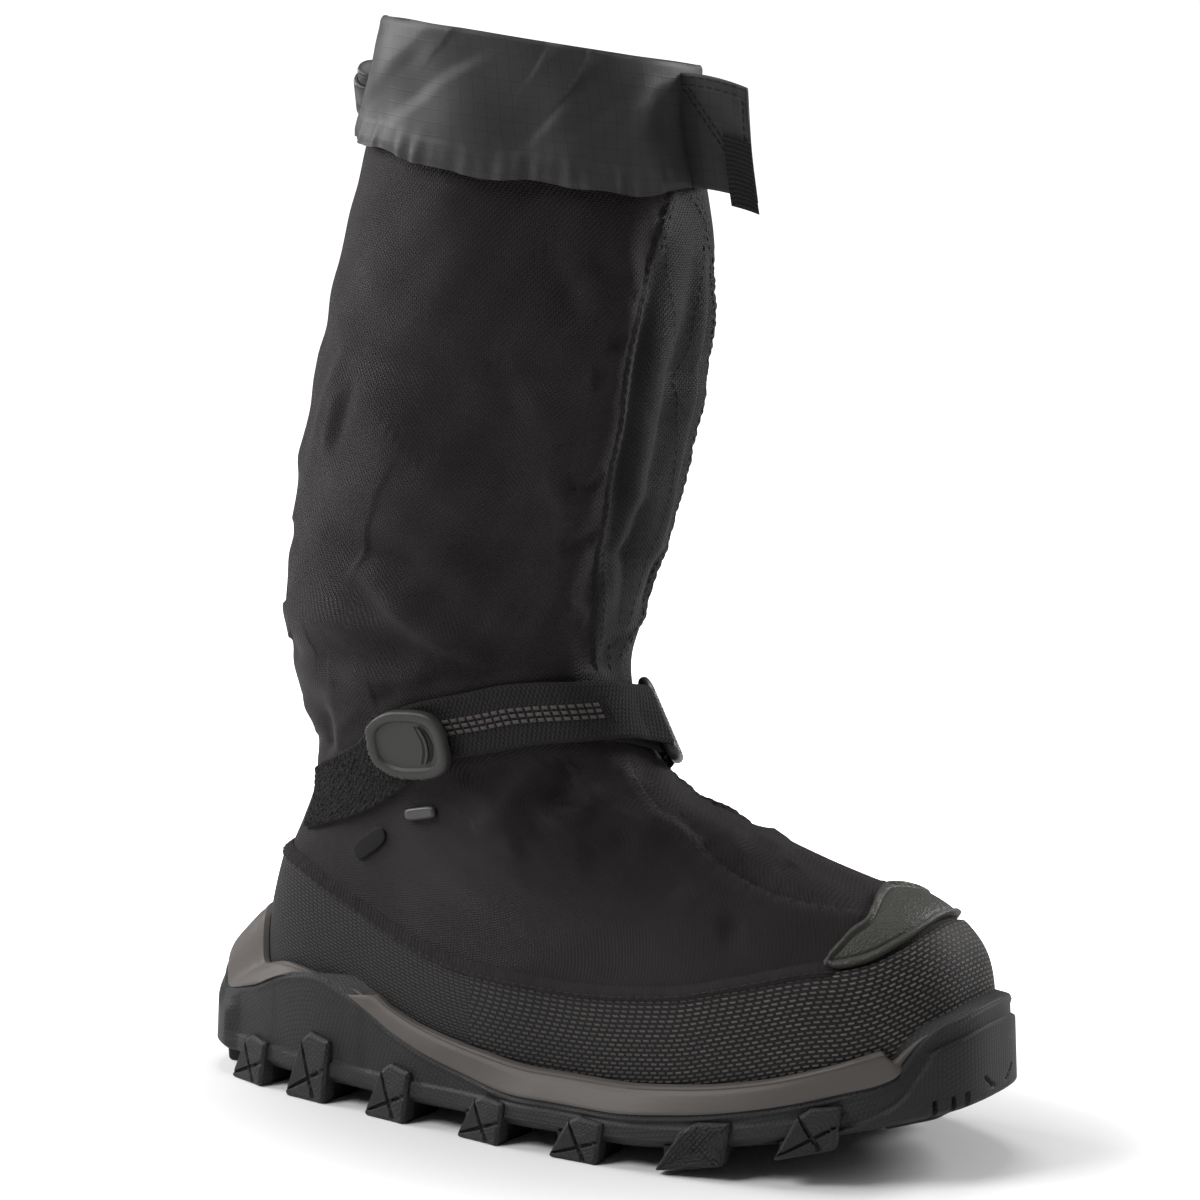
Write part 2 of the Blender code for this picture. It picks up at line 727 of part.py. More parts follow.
def build_insole(felt):
    """Flat insole on the footbed, inside the upper."""
    inset = -(upper_wall + insole_clearance)

    def layer(height):
        return ring_of(lambda a: skin(a, 0.0, inset) + Vector((0.0, 0.0, height)))

    return stacked_rings("insole", [layer(0.0), layer(insole_thickness)], felt)


def build_upper(cloth):
    """Hollow cloth upper, open at the collar and underneath, with its main folds."""
    places = [column(angle) for angle in angles]
    rows = range(len(places[0]))
    outer = [[skin(a, v[r]) for a, v in zip(angles, places)] for r in rows]
    inner = [[skin(a, v[r], -upper_wall) for a, v in zip(angles, places)] for r in rows]
    return shell("upper", outer, inner, True, cloth)


def build_rand(mesh_cloth):
    """Mesh rand round the lower upper, cut from the upper's own surface."""
    places = [column(angle) for angle in angles]
    rows = range(rand_row + 1)
    outer = [[skin(a, v[r], rand_out) for a, v in zip(angles, places)] for r in rows]
    inner = [[skin(a, v[r], cloth_gap) for a, v in zip(angles, places)] for r in rows]
    return shell("rand", outer, inner, True, mesh_cloth)


def build_cuff(cuff_cloth):
    """Band round the collar with a doubled hem at its foot and at its rim."""
    places = []
    for angle in angles:
        foot, rim = cuff_foot(angle), bare_surface(angle, rim_v).z
        heights = (foot, foot + cuff_overlap, foot + hem_height, foot + hem_height + hem_step,
                   (foot + hem_height + rim) / 2, rim - hem_height / 2)
        places.append([v_at_height(angle, z) for z in heights] + [rim_v])
    steps = (hem_step, hem_step, hem_step, 0.0, 0.0, 0.0, 0.0)
    outer, inner = [], []
    for r, step in enumerate(steps):
        outer.append([skin(a, v[r], cloth_gap + cuff_wall + step) for a, v in zip(angles, places)])
        inner.append([skin(a, v[r], cloth_gap) for a, v in zip(angles, places)])
    return shell("cuff", outer, inner, True, cuff_cloth)


def flap_point(across, up):
    """Middle of the closing flap: across goes from the cuff to its free edge, up from its foot to its top."""
    angle = turn / 2
    foot, rim = cuff_foot(angle), bare_surface(angle, rim_v).z
    root_out = cloth_gap + cuff_wall + hem_step + seat_gap + flap_thickness * 0.25
    root = skin(angle, v_at_height(angle, foot + (rim - foot) * up), root_out)
    swing = math.radians(flap_swing) * (0.4 + 0.6 * across)
    away = Vector((math.cos(swing), math.sin(swing), 0.0)) * flap_reach * across
    return root + away - Vector((0.0, 0.0, flap_droop * across * abs(across)))


def build_flap(cuff_cloth):
    """Closing flap that stands forward from the front of the cuff."""
    columns, rows = 5, 4
    near, far = [], []
    for r in range(rows):
        near_row, far_row = [], []
        for c in range(columns):
            across, up = c / (columns - 1), r / (rows - 1)
            ahead = flap_point(across + 0.01, up) - flap_point(across - 0.01, up)
            side = Vector((ahead.y, -ahead.x, 0.0)).normalized() * flap_thickness / 2
            middle = flap_point(across, up)
            near_row.append(middle + side)
            far_row.append(middle - side)
        near.append(near_row)
        far.append(far_row)
    return shell("cuff_flap", near, far, False, cuff_cloth)


def build_flap_tape(webbing):
    """Ribbed tape on the near face of the flap, at its free edge."""
    rise = bare_surface(turn / 2, rim_v).z - cuff_foot(turn / 2)
    near, far = [], []
    for up in (0.06, 0.06 + tape_height / rise):
        near_row, far_row = [], []
        for across in (0.97 - tape_width / flap_reach, 0.97 - tape_width / flap_reach / 2, 0.97):
            ahead = flap_point(across + 0.01, up) - flap_point(across - 0.01, up)
            side = Vector((ahead.y, -ahead.x, 0.0)).normalized()
            base = flap_point(across, up) + side * (flap_thickness / 2 + seat_gap)
            far_row.append(base)
            near_row.append(base + side * tape_thickness)
        near.append(near_row)
        far.append(far_row)
    return shell("flap_tape", near, far, False, webbing)


def band_rows(angle):
    """Places v across the strap's width at an angle: its two edges and its middle."""
    low, high = column(angle)[strap_row], column(angle)[strap_row + knot_steps[3]]
    return [low, (low + high) / 2, high]


def ribbon(name, middles, thickness, finish):
    """Webbing whose middle surface is a grid of points: one row for each station along it."""
    outer, inner = [], []
    last = len(middles) - 1
    for k, row in enumerate(middles):
        before, after = middles[max(0, k - 1)], middles[min(last, k + 1)]
        across = (row[-1] - row[0]).normalized()
        outer_row, inner_row = [], []
        for point, p0, p1 in zip(row, before, after):
            out = (p1 - p0).cross(across).normalized() * thickness / 2
            outer_row.append(point + out)
            inner_row.append(point - out)
        outer.append(outer_row)
        inner.append(inner_row)
    return shell(name, outer, inner, False, finish)


def loop_frame():
    """Middle of the plastic loop, at the front of the ankle, and its along, up and out directions."""
    angle = turn * loop_turn
    v = band_rows(angle)[1]
    out = normal_at(angle, v)
    up = (skin(angle, v + 0.3) - skin(angle, v - 0.3)).normalized()
    along = up.cross(out).normalized()
    if along.dot(skin(angle + 0.1, v) - skin(angle - 0.1, v)) < 0:
        along = -along
    lift = strap_out + loop_bar / 2 + loop_clearance + strap_thickness / 2 + loop_lift
    return skin(angle, v, lift), along, up, out


def fold_round_bar(direction):
    """Rows of webbing round one bar of the loop; direction is -1 for the strap and 1 for the inner webbing."""
    middle, along, up, out = loop_frame()
    bar = middle + along * direction * (loop_width - loop_bar) / 2
    radius = loop_bar / 2 + loop_clearance + strap_thickness / 2
    tail = bar + along * direction * (loop_bar / 2 + seat_gap)
    centres = [tail + out * radius]
    for step in range(7):
        swing = math.pi * (step / 6 - 0.5)
        centres.append(bar - along * direction * radius * math.cos(swing) - out * radius * math.sin(swing))
    centres.append(tail - out * radius)
    return [[centre + up * strap_width * w for w in (-0.5, 0.0, 0.5)] for centre in centres]


def band_run(first, last, outs):
    """Rows of webbing on the upper from one share of a turn to another, at the upper's own angles."""
    start, end = round(first * around), round(last * around)
    step = 1 if end > start else -1
    rows = []
    for i in range(start, end + step, step):
        angle = turn * i / around
        out = strap_out + blend(outs, i / around)
        rows.append([skin(angle, v, out) for v in band_rows(angle)])
    return rows


def build_strap(webbing):
    """Ankle strap: from under the pull tab to the loop, round its bar and a short way back beneath itself."""
    layer = strap_thickness + cloth_gap
    top = band_run(0.23, 0.500, ((0.37, 0.0), (0.43, layer), (0.500, layer + loop_lift + 1.2 * mm)))
    fold = fold_round_bar(-1)
    under = band_run(0.500, 0.45, ((0.45, 0.0), (0.500, loop_lift * 0.45)))
    return ribbon("strap", top + fold + under, strap_thickness, webbing)


def build_loop_webbing(webbing):
    """Webbing on the inner side that holds the loop."""
    fold = fold_round_bar(1)
    layer = strap_thickness + cloth_gap
    top = band_run(0.66, 0.592, ((0.592, layer + loop_lift + 1.2 * mm), (0.66, layer)))
    under = band_run(0.592, 0.76, ((0.592, loop_lift * 0.45), (0.63, 0.0)))
    return ribbon("loop_webbing", top + fold + under, strap_thickness, webbing)


def build_loop(plastic):
    """Rectangular plastic loop with round corners."""
    middle, along, up, out = loop_frame()
    half_wide, half_high = (loop_width - loop_bar) / 2, (loop_height - loop_bar) / 2
    corner = loop_bar * 0.8
    path = []
    for sx, sy, start in ((1, 1, 0), (-1, 1, 90), (-1, -1, 180), (1, -1, 270)):
        for k in range(3):
            a = math.radians(start + 45 * k)
            path.append(((half_wide - corner) * sx + corner * math.cos(a),
                         (half_high - corner) * sy + corner * math.sin(a)))
    sides = 6
    count = len(path)
    points, faces = [], []
    for k, (x, y) in enumerate(path):
        ahead, behind = path[(k + 1) % count], path[k - 1]
        run = Vector((ahead[0] - behind[0], ahead[1] - behind[1])).normalized()
        away = along * run.y - up * run.x
        centre = middle + along * x + up * y
        for s in range(sides):
            a = turn * s / sides
            points.append(centre + (away * math.cos(a) + out * math.sin(a)) * loop_bar / 2)
    for k in range(count):
        for s in range(sides):
            t = (s + 1) % sides
            n = (k + 1) % count
            faces.append((k * sides + s, k * sides + t, n * sides + t, n * sides + s))
    return make_object("strap_loop", points, faces, plastic)


def fitting_place(name):
    """Share of the turn, height and roll of a small fitting on the heel."""
    share, up, roll = fitting_places[name]
    return share, footbed_height + (boot_height - footbed_height) * up, roll


def surface_frame(share, height, roll, out):
    """Place on the upper: a direction along it turned by roll degrees, an up direction and the outward one."""
    angle = share * turn
    v = v_at_height(angle, height)
    away = normal_at(angle, v)
    flat = (bare_surface(angle + 0.05, v) - bare_surface(angle - 0.05, v)).normalized()
    up = away.cross(flat) if away.cross(flat).z > 0 else flat.cross(away)
    c, s = math.cos(math.radians(roll)), math.sin(math.radians(roll))
    return skin(angle, v, out), flat * c + up * s, up * c - flat * s, away


def rounded_plate(name, frame, length, width, layers, power, finish, count=16):
    """Plate with rounded outline in a frame; layers are (inset, height) pairs from the back to the front."""
    centre, along, up, out = frame
    rings = []
    for inset, height in layers:
        ring = []
        for k in range(count):
            a = turn * k / count
            c, s = math.cos(a), math.sin(a)
            x = math.copysign(abs(c) ** power, c) * (length / 2 - inset)
            y = math.copysign(abs(s) ** power, s) * (width / 2 - inset)
            ring.append(centre + along * x + up * y + out * height)
        rings.append(ring)
    return stacked_rings(name, rings, finish)


def build_fittings(webbing, fuzz, plastic, grip, label_cloth):
    """Hook-and-loop patch, pull tab, small bar and plain label at the outer side of the heel."""
    patch = band_run(0.06, 0.20, ((0.0, 0.0), (1.0, 0.0)))
    ribbon("strap_patch", patch, patch_thickness, fuzz)
    over = strap_out + strap_thickness / 2 + cloth_gap
    round_edge = 1 * mm
    layers = ((round_edge, 0.0), (0.0, round_edge), (0.0, pull_tab_thickness - round_edge),
              (round_edge, pull_tab_thickness), (pull_tab_rim, pull_tab_thickness),
              (pull_tab_rim + 0.5 * mm, pull_tab_thickness - pull_tab_recess))
    tab_at = surface_frame(*fitting_place("strap_pull_tab"), over)
    rounded_plate("strap_pull_tab", tab_at, pull_tab_length, pull_tab_width, layers, 0.62, grip, 20)
    bar_at = surface_frame(*fitting_place("strap_bar"), cloth_gap)
    bar_layers = ((0.4 * mm, 0.0), (0.0, bar_thickness * 0.4), (0.7 * mm, bar_thickness))
    rounded_plate("strap_bar", bar_at, bar_length, bar_width, bar_layers, 0.4, plastic, 12)
    label_at = surface_frame(*fitting_place("strap_label"), cloth_gap)
    label_layers = ((0.3 * mm, 0.0), (0.0, label_thickness * 0.5), (0.3 * mm, label_thickness))
    square = 0.25
    rounded_plate("strap_label", label_at, label_length, label_width, label_layers, square, label_cloth, 12)


def build_guard(rubber):
    """Toe guard: a shield of rubber over the toe with a raised rim."""
    first, end = round(guard_start * around), round((1 - guard_start) * around) + 1
    columns = [turn * i / around for i in range(first, end)]
    outer, inner = [], []
    raised = guard_thickness + guard_rim_height
    last = len(columns) - 1
    for c, angle in enumerate(columns):
        low = v_at_height(angle, height_of(guard_low_line, angle))
        high = v_at_height(angle, height_of(guard_high_line, angle))
        across = (bare_surface(angle, high) - bare_surface(angle, low)).length
        rim = min(0.30, guard_rim_width / across)
        shares = (0.0, rim, rim * 1.25, 0.5, 1 - rim * 1.25, 1 - rim, 1.0)
        edge = c <= 1 or c >= last - 1
        outs = [raised if edge or s in (0, 1, 5, 6) else guard_thickness for s in range(7)]
        outer.append([skin(angle, low + (high - low) * s, guard_gap + o) for s, o in zip(shares, outs)])
        inner.append([skin(angle, low + (high - low) * s, guard_gap) for s in shares])
    return shell("toe_guard", outer, inner, False, rubber)


def build_cord_lock(plastic, plastic_dark):
    """Barrel of the cord lock behind the cuff, and its plunger."""
    angle = turn * 0.008
    foot, rim = cuff_foot(angle), bare_surface(angle, rim_v).z
    out = cloth_gap + cuff_wall + hem_step + seat_gap + lock_radius
    v = v_at_height(angle, foot + (rim - foot) * lock_height_share)
    away = normal_at(angle, v)
    flat = Vector((-away.y, away.x, 0.0)).normalized()
    up = away.cross(flat) if away.cross(flat).z > 0 else flat.cross(away)
    tilt = math.radians(lock_tilt)
    axis = up * math.cos(tilt) + flat * math.sin(tilt)
    side = flat * math.cos(tilt) - up * math.sin(tilt)
    centre = skin(angle, v, out)

    def ring(radius, height, count=16):
        return [centre + axis * height + (side * math.cos(turn * k / count) + away * math.sin(turn * k / count))
                * radius for k in range(count)]

    bore = lock_radius - lock_wall
    half = lock_height / 2
    bevel = 0.8 * mm
    body = [ring(lock_radius - bevel, -half), ring(lock_radius, -half + bevel), ring(lock_radius, half - bevel),
            ring(lock_radius - bevel, half), ring(bore, half), ring(bore, half - button_depth - seat_gap)]
    stacked_rings("cord_lock_body", body, plastic)
    radius = bore - seat_gap
    base = half - button_depth
    button = [ring(radius, base), ring(radius, base + button_height - bevel),
              ring(radius - bevel, base + button_height)]
    stacked_rings("cord_lock_button", button, plastic_dark)


def build():
    """The whole overshoe."""
    for obj in list(bpy.data.objects):
        bpy.data.objects.remove(obj)
    cloth = finish_of("black_cloth", cloth_black, 0.75)
    cuff_cloth = finish_of("grey_ripstop", cuff_grey, 0.65)
    mesh_cloth = finish_of("mesh_cloth", mesh_grey, 0.85)
    rubber = finish_of("sole_rubber", rubber_grey, 0.70)
    foam = finish_of("midsole_foam", foam_taupe, 0.80)
    guard = finish_of("guard_rubber", guard_grey, 0.75)
    plastic = finish_of("grey_plastic", plastic_grey, 0.45)
    grip = finish_of("tab_rubber", guard_grey, 0.60)
    webbing = finish_of("black_webbing", cloth_black, 0.85)
    fuzz = finish_of("fuzzy_tape", cloth_black, 0.95)
    felt = finish_of("insole_felt", mesh_grey, 0.95)
    label_cloth = finish_of("label_cloth", mesh_grey, 0.85)
    build_outsole(rubber)
    build_midsole(foam)
    build_insole(felt)
    build_upper(cloth)
    build_rand(mesh_cloth)
    build_cuff(cuff_cloth)
    build_flap(cuff_cloth)
    build_flap_tape(webbing)
    build_strap(webbing)
    build_loop_webbing(webbing)
    build_loop(plastic)
    build_fittings(webbing, fuzz, plastic, grip, label_cloth)
    build_guard(guard)
    build_cord_lock(plastic, plastic)


build()
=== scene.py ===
import math
import bpy
import numpy as np
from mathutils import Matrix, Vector


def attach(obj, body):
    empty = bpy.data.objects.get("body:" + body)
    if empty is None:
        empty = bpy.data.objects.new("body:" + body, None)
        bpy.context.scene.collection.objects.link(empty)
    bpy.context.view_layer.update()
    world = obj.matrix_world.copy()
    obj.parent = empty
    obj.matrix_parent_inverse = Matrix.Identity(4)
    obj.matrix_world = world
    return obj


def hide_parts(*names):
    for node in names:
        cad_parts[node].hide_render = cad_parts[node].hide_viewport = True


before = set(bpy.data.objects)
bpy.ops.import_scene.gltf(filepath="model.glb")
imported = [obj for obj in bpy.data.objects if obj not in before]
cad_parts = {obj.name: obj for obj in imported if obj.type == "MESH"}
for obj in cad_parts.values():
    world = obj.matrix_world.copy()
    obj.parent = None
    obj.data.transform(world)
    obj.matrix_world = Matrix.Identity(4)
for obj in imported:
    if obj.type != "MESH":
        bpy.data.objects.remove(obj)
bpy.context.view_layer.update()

# Lengths are in millimetres here and become metres where a mesh is made
mm = 0.001
root = "root"

# Main sizes of the shoe
shoe = {
    "length": 314.0, "ballWidth": 127.0, "height": 396.0, "sidewall": 60.0, "footbed": 21.0,
    "lugDepth": 8.0, "floor": 4.5, "footFoam": 8.5, "spring": 24.0, "springStart": 0.64,
    "springPower": 1.35, "springThinning": 0.75, "rimV": 20.0, "soleRows": 4.0,
    "clothGap": 0.5, "randOut": 2.1, "strapOut": 1.35, "wall": 1.8, "strapWidth": 24.0, "cuffHeight": 42.0,
}
rise = shoe["height"] - shoe["footbed"]
collar = {"nearRise": 9.0, "farDrop": 15.0, "halfWidth": 58.0}

# Sections of the upper from the feather line to the rim: back, front, their heights, half widths of the
# outer and the inner side at the rear, middle and fore, and how round the two ends are
sectionRows = np.array((
    (-0.424, 0.455, 0.000, 0.000, 0.330, 0.385, 0.425, 0.300, 0.282, 0.390, 0.62, 0.62),
    (-0.431, 0.469, 0.050, 0.050, 0.345, 0.410, 0.455, 0.310, 0.300, 0.420, 0.62, 0.62),
    (-0.431, 0.467, 0.100, 0.108, 0.325, 0.390, 0.440, 0.300, 0.325, 0.410, 0.64, 0.64),
    (-0.425, 0.452, 0.135, 0.148, 0.305, 0.370, 0.390, 0.285, 0.320, 0.365, 0.66, 0.68),
    (-0.413, 0.420, 0.172, 0.177, 0.285, 0.345, 0.330, 0.270, 0.310, 0.310, 0.68, 0.76),
    (-0.396, 0.364, 0.205, 0.194, 0.270, 0.325, 0.270, 0.260, 0.300, 0.250, 0.70, 0.86),
    (-0.381, 0.291, 0.238, 0.212, 0.262, 0.305, 0.235, 0.255, 0.290, 0.215, 0.72, 0.94),
    (-0.377, 0.204, 0.270, 0.236, 0.265, 0.295, 0.230, 0.260, 0.285, 0.210, 0.74, 0.96),
    (-0.381, 0.114, 0.302, 0.257, 0.285, 0.300, 0.245, 0.280, 0.295, 0.230, 0.78, 0.92),
    (-0.393, 0.048, 0.338, 0.303, 0.320, 0.318, 0.280, 0.315, 0.318, 0.270, 0.82, 0.84),
    (-0.404, 0.018, 0.372, 0.352, 0.355, 0.345, 0.310, 0.350, 0.340, 0.305, 0.86, 0.74),
    (-0.406, 0.012, 0.408, 0.402, 0.375, 0.370, 0.335, 0.370, 0.365, 0.330, 0.88, 0.66),
    (-0.398, 0.035, 0.450, 0.450, 0.390, 0.390, 0.355, 0.385, 0.385, 0.350, 0.90, 0.62),
    (-0.390, 0.057, 0.504, 0.509, 0.410, 0.415, 0.380, 0.405, 0.410, 0.375, 0.90, 0.62),
    (-0.379, 0.078, 0.571, 0.579, 0.430, 0.440, 0.400, 0.425, 0.435, 0.395, 0.90, 0.62),
    (-0.361, 0.097, 0.643, 0.651, 0.445, 0.455, 0.415, 0.440, 0.450, 0.410, 0.90, 0.62),
    (-0.337, 0.107, 0.717, 0.723, 0.450, 0.460, 0.420, 0.445, 0.455, 0.415, 0.90, 0.64),
    (-0.309, 0.107, 0.797, 0.792, 0.445, 0.455, 0.415, 0.440, 0.450, 0.410, 0.88, 0.66),
    (-0.285, 0.097, 0.864, 0.845, 0.435, 0.445, 0.405, 0.430, 0.440, 0.400, 0.86, 0.70),
    (-0.262, 0.089, 0.932, 0.892, 0.425, 0.435, 0.395, 0.420, 0.430, 0.390, 0.86, 0.72),
    (-0.246, 0.084, 1.000, 0.948, 0.420, 0.430, 0.390, 0.415, 0.425, 0.385, 0.86, 0.74),
))

# Heights round one side as (share of a turn from the heel, share of the side wall), mirrored on the other
outsoleEdge = (
    (0, .75), (.030, .64), (.045, .52), (.090, .60), (.125, .75), (.142, .78), (.158, .72), (.175, .62),
    (.190, .52), (.220, .38), (.250, .31), (.285, .31), (.317, .35), (.354, .44), (.390, .55),
    (.418, .64), (.436, .84), (.455, .94), (.500, 1.00),
)
midsoleEdge = (
    (0, 1.03), (.025, .98), (.050, .72), (.090, .78), (.125, .75), (.160, .70), (.190, .60), (.220, .53),
    (.250, .48), (.285, .48), (.317, .52), (.354, .60), (.390, .71), (.430, .82), (.500, .86),
)
# Heights as shares of the rise over the footbed
randLine = (
    (0, .170), (.067, .163), (.129, .140), (.171, .116), (.210, .100), (.258, .096), (.308, .106),
    (.338, .120), (.379, .137), (.395, .140), (.412, .145), (.441, .157), (.474, .167), (.500, .170),
)
strapLine = (
    (0, .222), (.050, .226), (.100, .242), (.150, .266), (.200, .294), (.260, .322), (.310, .334),
    (.360, .344), (.410, .347), (.450, .345), (.480, .340), (.500, .333), (.525, .325), (.580, .306),
    (.660, .280), (.800, .262), (.900, .242), (1, .222),
)
guardLow = (
    (.3864, .141), (.395, .142), (.412, .147), (.441, .160), (.474, .170), (.500, .173),
)
guardHigh = (
    (.3864, .148), (.395, .158), (.410, .1715), (.425, .1785), (.439, .185), (.470, .193), (.500, .196),
)
# Plan of the sole: share of the length, outer and inner half width
planRows = (
    (0, .385, .370), (.22, .405, .375), (.38, .440, .380), (.52, .485, .395), (.66, .515, .440),
    (.78, .520, .470), (.90, .500, .480), (1, .475, .455),
)
planPower = 0.66


def smooth(t):
    t = np.clip(t, 0.0, 1.0)
    return t * t * (3 - 2 * t)


def blend(stations, t):
    t = np.asarray(t, float)
    value = stations[0][1] + 0 * t
    for (t0, v0), (t1, v1) in zip(stations, stations[1:]):
        value = np.where(t > t0, v0 + (v1 - v0) * smooth((t - t0) / (t1 - t0)), value)
    return value


def lineAt(stations, t, level=True):
    # Soft line through stations that never swings past them, level at both ends or at the last one only
    places, values = np.array(stations, float).T
    slopes = np.diff(values) / np.diff(places)
    product = slopes[:-1] * slopes[1:]
    turning = np.where(product > 0, 2 * product / np.where(product > 0, slopes[:-1] + slopes[1:], 1), 0.0)
    turning = np.concatenate([[0.0 if level else slopes[0]], turning, [0.0]])
    t = np.clip(np.asarray(t, float), places[0], places[-1])
    i = np.clip(np.searchsorted(places, t, side="right") - 1, 0, len(places) - 2)
    step = places[i + 1] - places[i]
    s = (t - places[i]) / step
    return (values[i] * (1 + 2 * s) * (1 - s) ** 2 + values[i + 1] * s * s * (3 - 2 * s)
            + step * (turning[i] * s * (1 - s) ** 2 - turning[i + 1] * s * s * (1 - s)))


def catmull(a, b, c, d, t):
    return b + 0.5 * t * (c - a + t * (2 * a - 5 * b + 4 * c - d + t * (3 * (b - c) + d - a)))


def unit(vectors):
    return vectors / np.maximum(np.linalg.norm(vectors, axis=-1, keepdims=True), 1e-9)


def springShare(x):
    return np.maximum(0.0, (x / shoe["length"] + 0.5 - shoe["springStart"]) / (1 - shoe["springStart"]))


def treadAt(x):
    return shoe["spring"] * springShare(x) ** shoe["springPower"]


def bottomAt(x):
    return treadAt(x) + shoe["lugDepth"] * (1 - shoe["springThinning"] * springShare(x))


def footbedAt(x):
    thin = 1 - shoe["springThinning"] * springShare(x)
    return bottomAt(x) + shoe["floor"] + shoe["footFoam"] * thin


def surface(share, v):
    # Smooth outer face of the upper; share 0 is the heel and 0.5 the toe, outer side first
    share, v = np.broadcast_arrays(np.asarray(share, float), np.asarray(v, float))
    v = np.clip(v, 0.0, shoe["rimV"])
    i = np.minimum(v.astype(int), 19)
    near = [sectionRows[np.clip(i + k, 0, 20)] for k in (-1, 0, 1, 2)]
    s = catmull(*near, (v - i)[..., None])
    angle = 2 * np.pi * share
    t = (1 - np.cos(angle)) / 2
    x = shoe["length"] * (s[..., 0] + (s[..., 1] - s[..., 0]) * t)
    z = shoe["footbed"] + rise * (s[..., 2] + (s[..., 3] - s[..., 2]) * t)
    z = z + (footbedAt(x) - shoe["footbed"]) * (1 - smooth(v / shoe["soleRows"]))
    outer = np.sin(angle) >= 0
    widths = [np.where(outer, s[..., 4 + k], s[..., 7 + k]) for k in range(3)]
    width = blend(((0.12, widths[0]), (0.48, widths[1]), (0.78, widths[2])), t)
    power = s[..., 10] + (s[..., 11] - s[..., 10]) * smooth(t)
    y = shoe["ballWidth"] * width * np.abs(np.sin(angle)) ** power
    return np.stack([x, np.where(outer, -y, y), z], -1)


def normalAt(share, v):
    along = surface(share + 0.0032, v) - surface(share - 0.0032, v)
    up = surface(share, np.minimum(v + 0.05, shoe["rimV"])) - surface(share, np.maximum(v - 0.05, 0.0))
    return unit(np.cross(along, up))


def vAtHeight(share, z):
    share, z = np.broadcast_arrays(np.asarray(share, float), np.asarray(z, float))
    low, high = np.zeros(z.shape), np.full(z.shape, shoe["rimV"])
    for _ in range(22):
        middle = (low + high) / 2
        under = surface(share, middle)[..., 2] < z
        low, high = np.where(under, middle, low), np.where(under, high, middle)
    return (low + high) / 2


def vAtUp(share, up):
    return vAtHeight(share, shoe["footbed"] + rise * np.asarray(up, float))


def sideShare(share):
    share = np.asarray(share, float) % 1.0
    return np.minimum(share, 1.0 - share)


def heightOf(line, share, level=True):
    return shoe["footbed"] + rise * lineAt(line, sideShare(share), level)


def strapHeight(share):
    return shoe["footbed"] + rise * lineAt(strapLine, np.asarray(share, float) % 1.0)


def outsoleTop(share):
    return shoe["sidewall"] * lineAt(outsoleEdge, sideShare(share))


def coverShare(share, more=0.0):
    # 1 where the rubber rises over the foam to meet the rand
    side = sideShare(share)
    behind = smooth((side - .119 + more) / .008) * smooth((.163 + more - side) / .008)
    return np.maximum(smooth((side - .420 + more) / .014), behind)


def midsoleTop(share):
    plain = np.maximum(shoe["sidewall"] * lineAt(midsoleEdge, sideShare(share)), outsoleTop(share) + 1.5)
    return plain - (plain - outsoleTop(share) + 2.5) * coverShare(share)


def cuffFoot(share):
    t = (1 - np.cos(2 * np.pi * np.asarray(share, float))) / 2
    return surface(share, shoe["rimV"])[..., 2] - shoe["cuffHeight"] * (1 - 0.04 * t)


def rimShift(share):
    # The collar sags on its far side and stands a little higher on the near one
    rim = surface(share, shoe["rimV"])
    off = rim - (surface(0.0, shoe["rimV"]) + surface(0.5, shoe["rimV"])) / 2
    lean = (off[..., 0] * 0.5 - off[..., 1] * 0.866) / collar["halfWidth"]
    return np.where(lean > 0, collar["nearRise"], collar["farDrop"]) * lean


def solePlan(share, inset, z):
    # Outline of the sole, moved in by inset, at height z
    share, inset, z = np.broadcast_arrays(np.asarray(share, float), inset, z)
    angle = 2 * np.pi * share
    t = (1 - np.cos(angle)) / 2
    outer = np.sin(angle) >= 0
    outerHalf, innerHalf = (blend([(row[0], row[k]) for row in planRows], t) for k in (1, 2))
    width = np.where(outer, outerHalf, innerHalf)
    x = -np.cos(angle) * (shoe["length"] / 2 - inset)
    y = (shoe["ballWidth"] * width - inset) * np.abs(np.sin(angle)) ** planPower
    return np.stack([x, np.where(outer, -y, y), z], -1)


def densify(points, steps=10):
    # Soft curve through a few points
    points = np.asarray(points, float)
    padded = np.concatenate([points[:1], points, points[-1:]])
    t = np.linspace(0, 1, steps, endpoint=False)[:, None]
    runs = [catmull(*padded[k:k + 4], t) for k in range(len(points) - 1)]
    return np.concatenate(runs + [points[-1:]])


def walkAlong(line):
    return np.concatenate([[0], np.cumsum(np.linalg.norm(np.diff(line, axis=0), axis=1))])


def pointsAt(walk, walked, line):
    return np.stack([np.interp(walk, walked, line[:, k]) for k in range(3)], -1)


# Mesh making
def quadGrid(indices, closed, flip=False):
    if closed:
        indices = np.concatenate([indices, indices[:, :1]], 1)
    corners = (indices[:-1, :-1], indices[:-1, 1:], indices[1:, 1:], indices[1:, :-1])
    quads = np.stack(corners, -1).reshape(-1, 4)
    return quads[:, ::-1] if flip else quads


def gridUv(uv, flip=False):
    corners = np.stack([uv[:-1, :-1], uv[:-1, 1:], uv[1:, 1:], uv[1:, :-1]], 2).reshape(-1, 4, 2)
    return corners[:, ::-1] if flip else corners


def uvOf(grid, closed):
    # Millimetres along each row and up the columns, for weaves
    wide = np.concatenate([grid, grid[:, :1]], 1) if closed else grid
    along = np.linalg.norm(np.diff(wide, axis=1), axis=2)
    u = np.concatenate([np.zeros((len(grid), 1)), np.cumsum(along, 1)], 1)
    climb = np.linalg.norm(np.diff(wide, axis=0), axis=2)
    v = np.concatenate([np.zeros((1, wide.shape[1])), np.cumsum(climb, 0)], 0)
    v = v - v[-1:] + v[-1:].mean()
    u = u - u[:, -1:] / 2
    return np.stack([u, v], -1)


